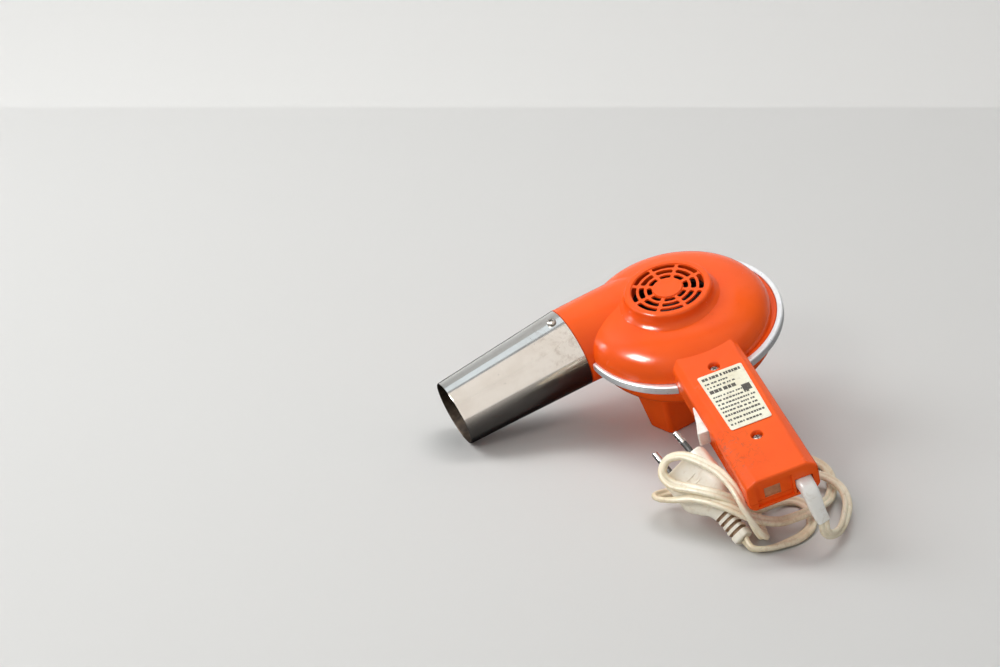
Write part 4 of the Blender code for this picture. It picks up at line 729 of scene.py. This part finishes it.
def nozzle_screw_hole(side):
    low, high = (20 * MM, 32 * MM) if side > 0 else (-32 * MM, -20 * MM)
    place = OUTLET @ Matrix.Translation((0, 0, NOZZLE_SCREW_ALONG)) @ Matrix.Rotation(pi / 2, 4, "Y")
    return drum(1.8 * MM, low, high, steps=24, matrix=place)


def dome_solid(room):
    """Dome on its own axis, drawn in below the trim band's top so that the band has its room."""
    ledge = RIM_HALF_HEIGHT + GAP
    profile = dome_curve(DOME_RADIUS, DOME_HEIGHT, DOME_ROUND_Z, DOME_ROUND_R, 34, ledge + 0.5 * MM)
    profile += [(DOME_RADIUS, ledge + 0.3 * MM), (DOME_RADIUS - 0.25 * MM, ledge),
                (DOME_RADIUS, ledge - 0.1 * MM), (DOME_RADIUS, -1 * MM), (0.0, -1 * MM)]
    bm = turned(profile, DISC_STEPS, (DOME_X, 0.0))
    for vertex in bm.verts:
        reach = sqrt(vertex.co.x ** 2 + vertex.co.y ** 2)
        if vertex.co.z < ledge - 0.05 * MM and reach > room:
            vertex.co.x *= room / reach
            vertex.co.y *= room / reach
    return bm


def turret():
    """Intake turret: a low hub and edge around the grille's bars, and a cove at its foot."""
    bars = TURRET_TOP - 0.7 * MM
    face = [(0.0, TURRET_TOP), (HUB_RADIUS - 0.5 * MM, TURRET_TOP), (HUB_RADIUS - 0.1 * MM, bars),
            (GRILLE_RADIUS + 0.3 * MM, bars), (GRILLE_RADIUS + 0.6 * MM, TURRET_TOP - 0.1 * MM),
            (GRILLE_RADIUS + 0.8 * MM, TURRET_TOP)]
    shoulder = arc((TURRET_RADIUS - 2.0 * MM, TURRET_TOP - 2.0 * MM), 2.0 * MM, 90, 0, 6)
    cove = [(TURRET_RADIUS + out * MM, DOME_HEIGHT + rise * MM) for out, rise in
            ((0.15, 4.0), (0.7, 2.0), (1.8, 0.4), (3.4, -0.4), (4.2, -1.2), (4.2, -4))]
    return turned(face + shoulder + cove + [(0.0, DOME_HEIGHT - 4 * MM)], 96, (FAN_X, 0.0))


def screw_post(at):
    """Post inside the handle, with the screw's sunk seat and its bore."""
    well = turned([(0.0, HANDLE_TOP + 1 * MM), (4.4 * MM, HANDLE_TOP + 1 * MM),
                   (4.1 * MM, HANDLE_TOP - 0.1 * MM), (3.6 * MM, HANDLE_TOP - 0.6 * MM),
                   (3.6 * MM, SCREW_SEAT), (0.0, SCREW_SEAT)], 40, at)
    well.transform(HANDLE)
    return add(drum(5.2 * MM, 0.0, HANDLE_TOP - 1 * MM, at, 32, HANDLE)) + cut(
        well, drum(1.9 * MM, -2 * MM, SCREW_SEAT + MM, at, 24, HANDLE))


def front_shell():
    room = RIM_INNER - GAP
    flange = turned([(0.0, 3.0 * MM), (room - 0.5 * MM, 3.0 * MM), (room, 2.5 * MM), (room, FLANGE_THICK),
                     (FLANGE_RADIUS, FLANGE_THICK), (FLANGE_RADIUS, -1 * MM), (0.0, -1 * MM)], DISC_STEPS,
                    twist=0.02)
    inner = dome_curve(DOME_BORE_RADIUS, DOME_HEIGHT - WALL, DOME_ROUND_Z, DOME_ROUND_R, 11, 4.0 * MM)
    inner += [(DOME_BORE_RADIUS, -2 * MM), (0.0, -2 * MM)]
    steps = add(flange, turret(), neck(0.0, -2 * MM), spigot(0.0, -4 * MM, SPIGOT_LENGTH),
                handle(0.0, 40 * MM, HANDLE_END))
    steps += cut(turned(inner, BORE_STEPS, (DOME_BORE_X, 0.0), twist=0.01),
                 drum(GRILLE_RADIUS + 1.4 * MM, DOME_HEIGHT - 8 * MM, TURRET_TOP - GRILLE_THICK,
                      (FAN_X, 0.0), 64),
                 neck(WALL, -4 * MM, 48), spigot(WALL, -6 * MM, SPIGOT_LENGTH + 3 * MM),
                 handle(HANDLE_WALL, 46 * MM, HANDLE_END - END_WALL))
    for along in SCREW_ALONG:
        steps += screw_post((along, HANDLE_OFFSET))
    steps += handle_cuts() + cut(grille_slots(), seam_block(-0.2, GAP / 2), nozzle_screw_hole(1))
    shaped("front_shell", "orange_plastic", dome_solid(room - 0.4 * MM), steps, [ORANGE])


def grille_slots():
    """Eight arcs in each of three rings, with rounded ends, as one cutter."""
    slots = []
    for inner, outer in SLOT_RINGS:
        middle = (inner + outer) / 2 * GRILLE_RADIUS
        half = (outer - inner) / 2 * GRILLE_RADIUS
        margin = (SPOKE_WIDTH / 2 + half * 0.55) / middle
        corner = 0.44 * half / middle
        for number in range(8):
            start, end = number * pi / 4 + margin, (number + 1) * pi / 4 - margin
            sweep_turns = [start + (end - start) * i / 8 for i in range(9)]
            polar = [(middle + half, turn) for turn in sweep_turns]
            polar += [(middle + half * 0.55, end + corner), (middle - half * 0.55, end + corner)]
            polar += [(middle - half, turn) for turn in reversed(sweep_turns)]
            polar += [(middle - half * 0.55, start - corner), (middle + half * 0.55, start - corner)]
            slots.append(lofted([[(FAN_X + reach * cos(turn), reach * sin(turn), level)
                                  for reach, turn in polar]
                                 for level in (TURRET_TOP - 6 * MM, TURRET_TOP + 2 * MM)]))
    return joined(slots)


def mirrored(profile):
    return [(radius, -height) for radius, height in reversed(profile)]


def rear_profile(inset, steps):
    dish = dome_curve(DISH_RADIUS - inset, DISH_DEPTH - inset, DISH_ROUND_Z, DISH_ROUND_R, steps, 4.0 * MM)
    if inset > 0:
        return dish + [(DISH_RADIUS - inset, -2 * MM), (0.0, -2 * MM)]
    return dish + [(DISH_RADIUS - inset, FLANGE_THICK), (FLANGE_RADIUS - inset, FLANGE_THICK),
                   (FLANGE_RADIUS - inset, -1 * MM), (0.0, -1 * MM)]


def rear_shell():
    steps = add(neck(0.0, -2 * MM), spigot(0.0, -4 * MM, SPIGOT_LENGTH), handle(0.0, 50 * MM, HANDLE_END))
    steps += cut(turned(mirrored(rear_profile(WALL, 11)), BORE_STEPS, twist=0.01),
                 neck(WALL, -4 * MM, 48), spigot(WALL, -6 * MM, SPIGOT_LENGTH + 3 * MM),
                 handle(HANDLE_WALL, 52 * MM, HANDLE_END - END_WALL))
    steps += handle_cuts() + cut(seam_block(-GAP / 2, 0.2), nozzle_screw_hole(-1))
    outside = turned(mirrored(rear_profile(0.0, 30)), DISC_STEPS)
    shaped("rear_shell", "orange_plastic", outside, steps, [ORANGE])


# ---------------- foot
def surface_height(x, y, lift):
    return (lift - REST_HEIGHT - up_direction.x * x - up_direction.y * y) / up_direction.z


def foot_loop(spread, lift=None, level=0.0):
    """Rounded rectangle at a level, or lying that far above the standing surface."""
    corner = 3.5 * MM + min(spread, 0.0) * 0.5
    loop = []
    for sign_n, sign_t in ((1, 1), (-1, 1), (-1, -1), (1, -1)):
        for i in range(9):
            turn = pi / 2 * i / 8
            mix = (cos(turn), sin(turn)) if sign_n * sign_t > 0 else (sin(turn), cos(turn))
            n = (FOOT_NEAR if sign_n > 0 else FOOT_FAR) + sign_n * (spread - corner + corner * mix[0])
            t = (FOOT_HIGH if sign_t > 0 else FOOT_LOW) + sign_t * (spread - corner + corner * mix[1])
            height = level
            if lift is not None:
                spot = FOOT @ Vector((n, t, 0.0))
                height = surface_height(spot.x, spot.y, lift)
            loop.append((n, t, height))
    return loop


def stand_foot():
    spread, sole = FOOT_HEIGHT * FOOT_DRAFT, 1.8 * MM
    sections = [foot_loop(spread, level=-12 * MM), foot_loop(0.0, sole)]
    for i in range(1, 5):
        sections.append(foot_loop(-1.4 * MM * (1 - cos(pi / 8 * i)), sole * (1 - sin(pi / 8 * i))))
    hollow = lofted([foot_loop(spread - WALL, level=-11 * MM), foot_loop(-WALL, 3.0 * MM)], FOOT)
    dish = turned(mirrored(rear_profile(-GAP, 30)), DISC_STEPS)
    shaped("stand_foot", "orange_plastic", lofted(sections, FOOT), cut(hollow, dish), [ORANGE])


# ---------------- metal trim, tube and screws
def trim_bands():
    outer, inner, half = RIM_OUTER, RIM_INNER, RIM_HALF_HEIGHT
    throat, lip = RIM_OUTER - RIM_SHEET, half - RIM_SHEET
    bend = 1.3 * MM
    profile = [(inner, half - 0.25 * MM), (inner + 0.25 * MM, half)]
    for side, start, end in ((1, 90, 0), (-1, 0, -90)):
        profile += arc((outer - bend, side * (half - bend)), bend, start, end, 6)
    profile += [(inner + 0.25 * MM, -half), (inner, 0.25 * MM - half), (inner, -lip), (throat, -lip),
                (throat, lip), (inner, lip)]
    reach, deep = 90 * MM, 6 * MM
    neck_gap = ((-reach, OUTLET_START.y - 28.6 * MM, -deep),
                (-20 * MM, OUTLET_START.y + 30.9 * MM, deep), None)
    handle_gap = ((40 * MM, HANDLE_OFFSET - HANDLE_HALF - GAP, -deep),
                  (100 * MM, HANDLE_OFFSET + HANDLE_HALF + GAP, deep), HANDLE)
    right_side = ((-reach, -2 * MM, -deep), (reach, reach, deep), HANDLE)
    far_side = ((-reach, 0.0, -deep), (reach, reach, deep), None)
    near_left = ((-1 * MM, -reach, -deep), (reach, -2 * MM, deep), HANDLE)
    for name, removers in (("trim_band_short", (right_side, far_side)), ("trim_band_long", (near_left,))):
        steps = cut(*[block(*remover) for remover in (neck_gap, handle_gap) + removers])
        shaped(name, "band_metal", turned(profile, 200, closed=True), steps, [BAND])


def nozzle_tube():
    """Chromed tube with a rounded mouth and a heat-stained inside."""
    tip, sheet = tube_radius(TUBE_LENGTH), TUBE_SHEET
    mouth = [(tip - sheet, TUBE_LENGTH - 0.5 * MM), (tip - sheet * 0.85, TUBE_LENGTH - 0.15 * MM),
             (tip - sheet * 0.5, TUBE_LENGTH), (tip - sheet * 0.15, TUBE_LENGTH - 0.15 * MM),
             (tip, TUBE_LENGTH - 0.5 * MM)]
    stations = [TUBE_LENGTH * (1 - i / 12) for i in range(1, 12)]
    body = [(tube_radius(along), along) for along in stations]
    root = [(tube_radius(0.3 * MM), 0.6 * MM), (tube_radius(0.0) - 0.25 * MM, GAP),
            (tube_radius(0.0) - sheet, GAP)]
    inner = [(tube_radius(along) - sheet, along) for along in reversed(stations)]
    bm = turned(mouth + body + root + inner, 144, closed=True)
    for face in bm.faces:
        middle = face.calc_center_median()
        radius = sqrt(middle.x ** 2 + middle.y ** 2)
        face.material_index = 1 if radius < tube_radius(middle.z) - sheet * 0.7 else 0
    across = Matrix.Translation((0, 0, NOZZLE_SCREW_ALONG)) @ Matrix.Rotation(pi / 2, 4, "Y")
    holes = [(drum(1.9 * MM, middle - 6 * MM, middle + 6 * MM, steps=24, matrix=across), CHROME)
             for middle in (-26 * MM, 26 * MM)]
    shaped("nozzle_tube", "chrome", bm, cut(*holes), [CHROME, SCORCHED], REST @ OUTLET)


def screw(node, place, seat, length, head, turn):
    """Pan-head screw with a cross recess, pointing down from its seat."""
    shank = 1.5 * MM
    top = seat + 1.9 * MM
    profile = [(0.0, top)]
    profile += [(head * share, top - drop * MM) for share, drop in
                ((0.35, 0.03), (0.62, 0.2), (0.84, 0.6), (0.97, 1.1))]
    profile += [(head, top - 1.5 * MM), (head, seat), (shank, seat), (shank, seat - length + 1 * MM),
                (0.0, seat - length)]
    # The recess's cut walls take the dark iron look: painted shade inside the cross.
    recess = [(block((-head * 0.62, -0.36 * MM, top - 0.9 * MM), (head * 0.62, 0.36 * MM, top + 1 * MM),
                     Matrix.Rotation(turn + quarter * pi / 2, 4, "Z")), IRON) for quarter in (0, 1)]
    shaped(node, "steel", turned(profile, 40), cut(*recess), [STEEL], place, 40)


def screws():
    for number, along in enumerate(SCREW_ALONG):
        spot = HANDLE @ Vector((along, HANDLE_OFFSET, 0.0))
        screw(f"handle_screw_{number + 1}", REST @ Matrix.Translation((spot.x, spot.y, 0.0)),
              SCREW_SEAT + GAP, 17.4 * MM, 3.2 * MM, 0.4 + number)
    for number, side in enumerate((0.0, pi)):
        place = REST @ OUTLET @ Matrix.Translation((0, 0, NOZZLE_SCREW_ALONG))
        place = place @ Euler((0.0, pi / 2, side)).to_matrix().to_4x4()
        screw(f"nozzle_screw_{number + 1}", place, tube_radius(NOZZLE_SCREW_ALONG) + 0.1 * MM + GAP,
              6 * MM, 3.1 * MM, 0.6)


# ---------------- label
def label_plate():
    centre = HANDLE_OFFSET + 1.0 * MM
    corners = [(LABEL_NEAR, centre - 15.1 * MM), (LABEL_FAR, centre - 13.6 * MM),
               (LABEL_FAR, centre + 13.6 * MM), (LABEL_NEAR, centre + 15.1 * MM)]
    low, high = HANDLE_TOP + GAP, HANDLE_TOP + GAP + 0.4 * MM
    loop = rounded(corners, [1.6 * MM] * 4)
    middle = Vector(((LABEL_NEAR + LABEL_FAR) / 2, centre))
    inner = [point + (middle - point).normalized() * 0.15 * MM for point in loop]
    sections = [[(*point, low) for point in loop], [(*point, high - 0.1 * MM) for point in loop],
                [(*point, high) for point in inner]]
    plain("rating_label", "label", lofted(sections, HANDLE), LABEL_LOOK, REST, 32)
    label_marks(centre, high)


def label_marks(centre, level):
    """Plain bars in place of print: a heading, rows of short blocks and one dark square."""
    draw = random.Random(7)
    bars = []
    rows = ((4.2, 2.6, 1.0), (9.2, 1.5, 0.62), (13.0, 1.5, 0.75), (17.6, 3.2, 0.72), (23.2, 1.3, 0.9),
            (27.2, 1.6, 0.9), (31.2, 1.6, 1.0), (35.0, 1.6, 1.0), (38.8, 1.6, 1.0), (42.8, 1.8, 1.0),
            (47.4, 1.8, 1.0), (52.0, 1.6, 0.85))
    for along, size, fill in rows:
        half = 13.2 * MM - 1.3 * MM * along / 56.0
        across = -half
        limit = -half + 2 * half * fill
        while across < limit - 1.2 * MM:
            width = draw.choice((0.9, 1.2, 1.6)) * MM * (0.55 + 0.35 * size)
            low = (LABEL_NEAR + along * MM - size * MM / 2, centre + across, level - 0.05 * MM)
            high = (low[0] + size * MM, centre + min(across + width, limit), level + 0.05 * MM)
            bars.append(block(low, high))
            across += width + draw.choice((0.35, 0.45, 1.1)) * MM
    bars.append(block((LABEL_NEAR + 20.2 * MM, centre + 7.0 * MM, level - 0.05 * MM),
                      (LABEL_NEAR + 26.6 * MM, centre + 12.6 * MM, level + 0.06 * MM)))
    marks = link("label_marks", joined(bars), [INK], REST @ HANDLE)
    finish_piece(marks, "black_plastic")


# ---------------- switch
def rocker():
    """Wedge rocker with softened edges, in the pivot's own frame."""
    half = ROCKER_HALF
    side = [(-half, -5.3 * MM), (-half, -3.6 * MM), (-4.0 * MM, 0.6 * MM), (0.0, 1.6 * MM),
            (4.0 * MM, 0.6 * MM), (half, -3.6 * MM), (half, -10.6 * MM), (half - 0.9 * MM, -11.3 * MM),
            (0.0, -7.9 * MM)]
    reach = [value * MM for value in (0.6, 0.6, 1.5, 1.5, 1.5, 0.8, 0.3, 0.3, 1.5)]
    loop = rounded(side, reach, 4)
    middle = Vector((0.0, -4.0 * MM))
    edge = 0.5 * MM
    levels = ((ROCKER_LOW, edge), (ROCKER_LOW + 0.15 * MM, edge * 0.3), (ROCKER_LOW + edge, 0.0),
              (ROCKER_HIGH - edge, 0.0), (ROCKER_HIGH - 0.15 * MM, edge * 0.3), (ROCKER_HIGH, edge))
    sections = [[(*(point + (middle - point).normalized() * inset), level) for point in loop]
                for level, inset in levels]
    place = REST @ HANDLE @ Matrix.Translation((ROCKER_ALONG, ROCKER_ACROSS, 0.0))
    bore = drum(1.2 * MM, -2 * MM, 14 * MM, steps=32)
    shaped("switch_rocker", "white_plastic", lofted(sections), cut(bore), [WHITE], place, body="rocker")


# ---------------- strain relief, cord and plug
def superloop(centre, across, rise, half_w, half_h, power, steps=32):
    loop = []
    for i in range(steps):
        turn = 2 * pi * i / steps
        reach = (abs(cos(turn)) ** power + abs(sin(turn)) ** power) ** (-1 / power)
        loop.append(centre + across * half_w * reach * cos(turn) + rise * half_h * reach * sin(turn))
    return loop


def relief():
    path = spline([Vector(point) * MM for point in RELIEF_PATH], 6)
    sizes = spline([Vector((*size, 0.0)) * MM for size in RELIEF_SIZE], 6)
    sections = []
    for i, point in enumerate(path):
        forward = (path[min(i + 1, len(path) - 1)] - path[max(i - 1, 0)]).normalized()
        across = Vector((0, 1, 0))
        across = (across - forward * across.dot(forward)).normalized()
        rise = across.cross(forward)
        sections.append(superloop(point, across, rise, sizes[i].x, sizes[i].y, 3.4))
    plain("strain_relief", "white_plastic", lofted(sections, HANDLE), WHITE, REST)


def cord_points():
    last, tip = (Vector(point) * MM for point in RELIEF_PATH[-2:])
    start = REST @ HANDLE @ (tip + (tip - last).normalized() * 1.2 * GAP)
    along = (PLUG_TAIL - PLUG_TIPS).normalized()
    end = PLUG_TIPS + along * (PLUG_SECTIONS[-1][0] * MM + 2.5 * GAP) + REST_PLACE
    return spline([start] + [Vector(point) * MM + REST_PLACE for point in CORD_ROUTE] + [end], 8)


def twin_section():
    """Two round cores side by side, with a groove between them on both faces."""
    loop = []
    for sign in (1, -1):
        for i in range(11):
            turn = radians(-145 + 29 * i) if sign > 0 else radians(35 + 29 * i)
            loop.append((sign * CORE_SPREAD + CORE_RADIUS * cos(turn), CORE_RADIUS * sin(turn)))
    return loop


def cord():
    path = cord_points()
    upright = Vector((0, -sin(CORD_LEAN), cos(CORD_LEAN)))
    count = len(path)
    section = twin_section()
    width = (REST @ HANDLE).to_3x3() @ Vector((0, 1, 0))
    plug_width = PLUG.to_3x3() @ Vector((1, 0, 0))
    rings = []
    for i, point in enumerate(path):
        forward = (path[min(i + 1, count - 1)] - path[max(i - 1, 0)]).normalized()
        width = (width - forward * width.dot(forward)).normalized()
        flat = upright.cross(forward)
        strength = flat.length
        if strength > 0.2:
            flat = flat.normalized() * (1 if flat.dot(width) >= 0 else -1)
            width = width.lerp(flat, 0.10 * strength * min(i / 30, 1.0)).normalized()
        if i > count - 30:
            target = plug_width * (1 if plug_width.dot(width) >= 0 else -1)
            width = width.lerp(target, 0.16)
        width = (width - forward * width.dot(forward)).normalized()
        rise = forward.cross(width)
        rings.append([point + width * x + rise * y for x, y in section])
    made = plain("cord", "cord_plastic", lofted(rings), CORD_LOOK, Matrix(), 50)


def plug_body():
    """Flat plug with rounded shoulders, a grooved tail and two raised lines on each face."""
    stations = spline([Vector(section) * MM for section in PLUG_SECTIONS[1:-1]], 8)
    sections = []
    for i in range(5):
        turn = pi / 8 * i
        sections.append((20.6 - 1.6 * cos(turn), 17.0 - 1.6 * (1 - sin(turn)), 6.8 - 1.6 * (1 - sin(turn))))
    sections = [tuple(value * MM for value in section) for section in sections]
    sections += [(s.x, min(s.y, 17 * MM), min(s.z, 6.8 * MM)) for s in stations if s.x > 21 * MM]
    sections += [(81.2 * MM, 5.5 * MM, 4.6 * MM), (81.6 * MM, 5.0 * MM, 4.2 * MM)]
    loops = [superloop(Vector((0, 0, along)), Vector((1, 0, 0)), Vector((0, 1, 0)), half_w, half_h, 4.0, 56)
             for along, half_w, half_h in sections]
    steps = []
    for number in range(GROOVES):
        low, high = [(end + GROOVE_STEP * number) * MM for end in (GROOVE_START, GROOVE_END)]
        groove = turned([(9 * MM, high), (9 * MM, low), (4.1 * MM, low), (4.1 * MM, high)], 48, closed=True)
        groove.transform(Matrix.Diagonal((1.0, 0.86, 1.0, 1.0)))
        # Each groove's cut faces take the groove look: painted shade inside the groove.
        steps += cut((groove, GROOVE_SHADE))
    for number in range(2):
        for side in (-1, 1):
            low = (31.0 + 5.0 * number) * MM
            face = sorted((side * 6.4 * MM, side * 7.15 * MM))
            steps += add(block((-4.5 * MM, face[0], low), (4.5 * MM, face[1], low + 1.1 * MM),
                               bevel=0.3 * MM))
    for side in (-1, 1):
        steps += cut(drum(1.5 * MM, 17 * MM, 26 * MM, (side * PIN_SPACING / 2, 0.0), 32))
    return shaped("plug_body", "cord_plastic", lofted(loops), steps, [PLUG_CREAM, GROOVE_SHADE], PLUG, 40)


def plug_pins():
    made = []
    for number, side in enumerate((-1, 1)):
        place = PLUG @ Matrix.Translation((side * PIN_SPACING / 2, 0.0, 0.0))
        tip = [(2.0 * sin(pi / 12 * i), 1.7 - 1.7 * cos(pi / 12 * i)) for i in range(7)]
        profile = [(0.0, 25 * MM), (1.2 * MM, 25 * MM), (1.2 * MM, PIN_SHOULDER), (2.0 * MM, PIN_SHOULDER)]
        profile += [(radius * MM, height * MM) for radius, height in reversed(tip)]
        made.append(plain(f"plug_pin_{number + 1}", "chrome", turned(profile, 40), CHROME, place))
        top, low = PIN_LENGTH - GAP, PIN_SHOULDER + GAP
        wall = turned([(1.5 * MM, top), (2.0 * MM, top), (2.0 * MM, low + 0.25 * MM), (1.8 * MM, low),
                       (1.5 * MM, low)], 40, closed=True)
        made.append(plain(f"pin_sleeve_{number + 1}", "black_plastic", wall, BLACK, place))
    return made


def carried_nodes():
    """CAD nodes that stay get the finished look of their own slot."""
    for node in frame["nodes"].values():
        if node.hide_render:
            continue
        for slot in node.material_slots:
            slot.material = SLOT_LOOKS[slot.material.name.split(".")[0]]


studio()
plug_pieces = [plug_body()] + plug_pins()
cord()
relief()
front_shell()
rear_shell()
stand_foot()
trim_bands()
nozzle_tube()
screws()
label_plate()
rocker()
carried_nodes()
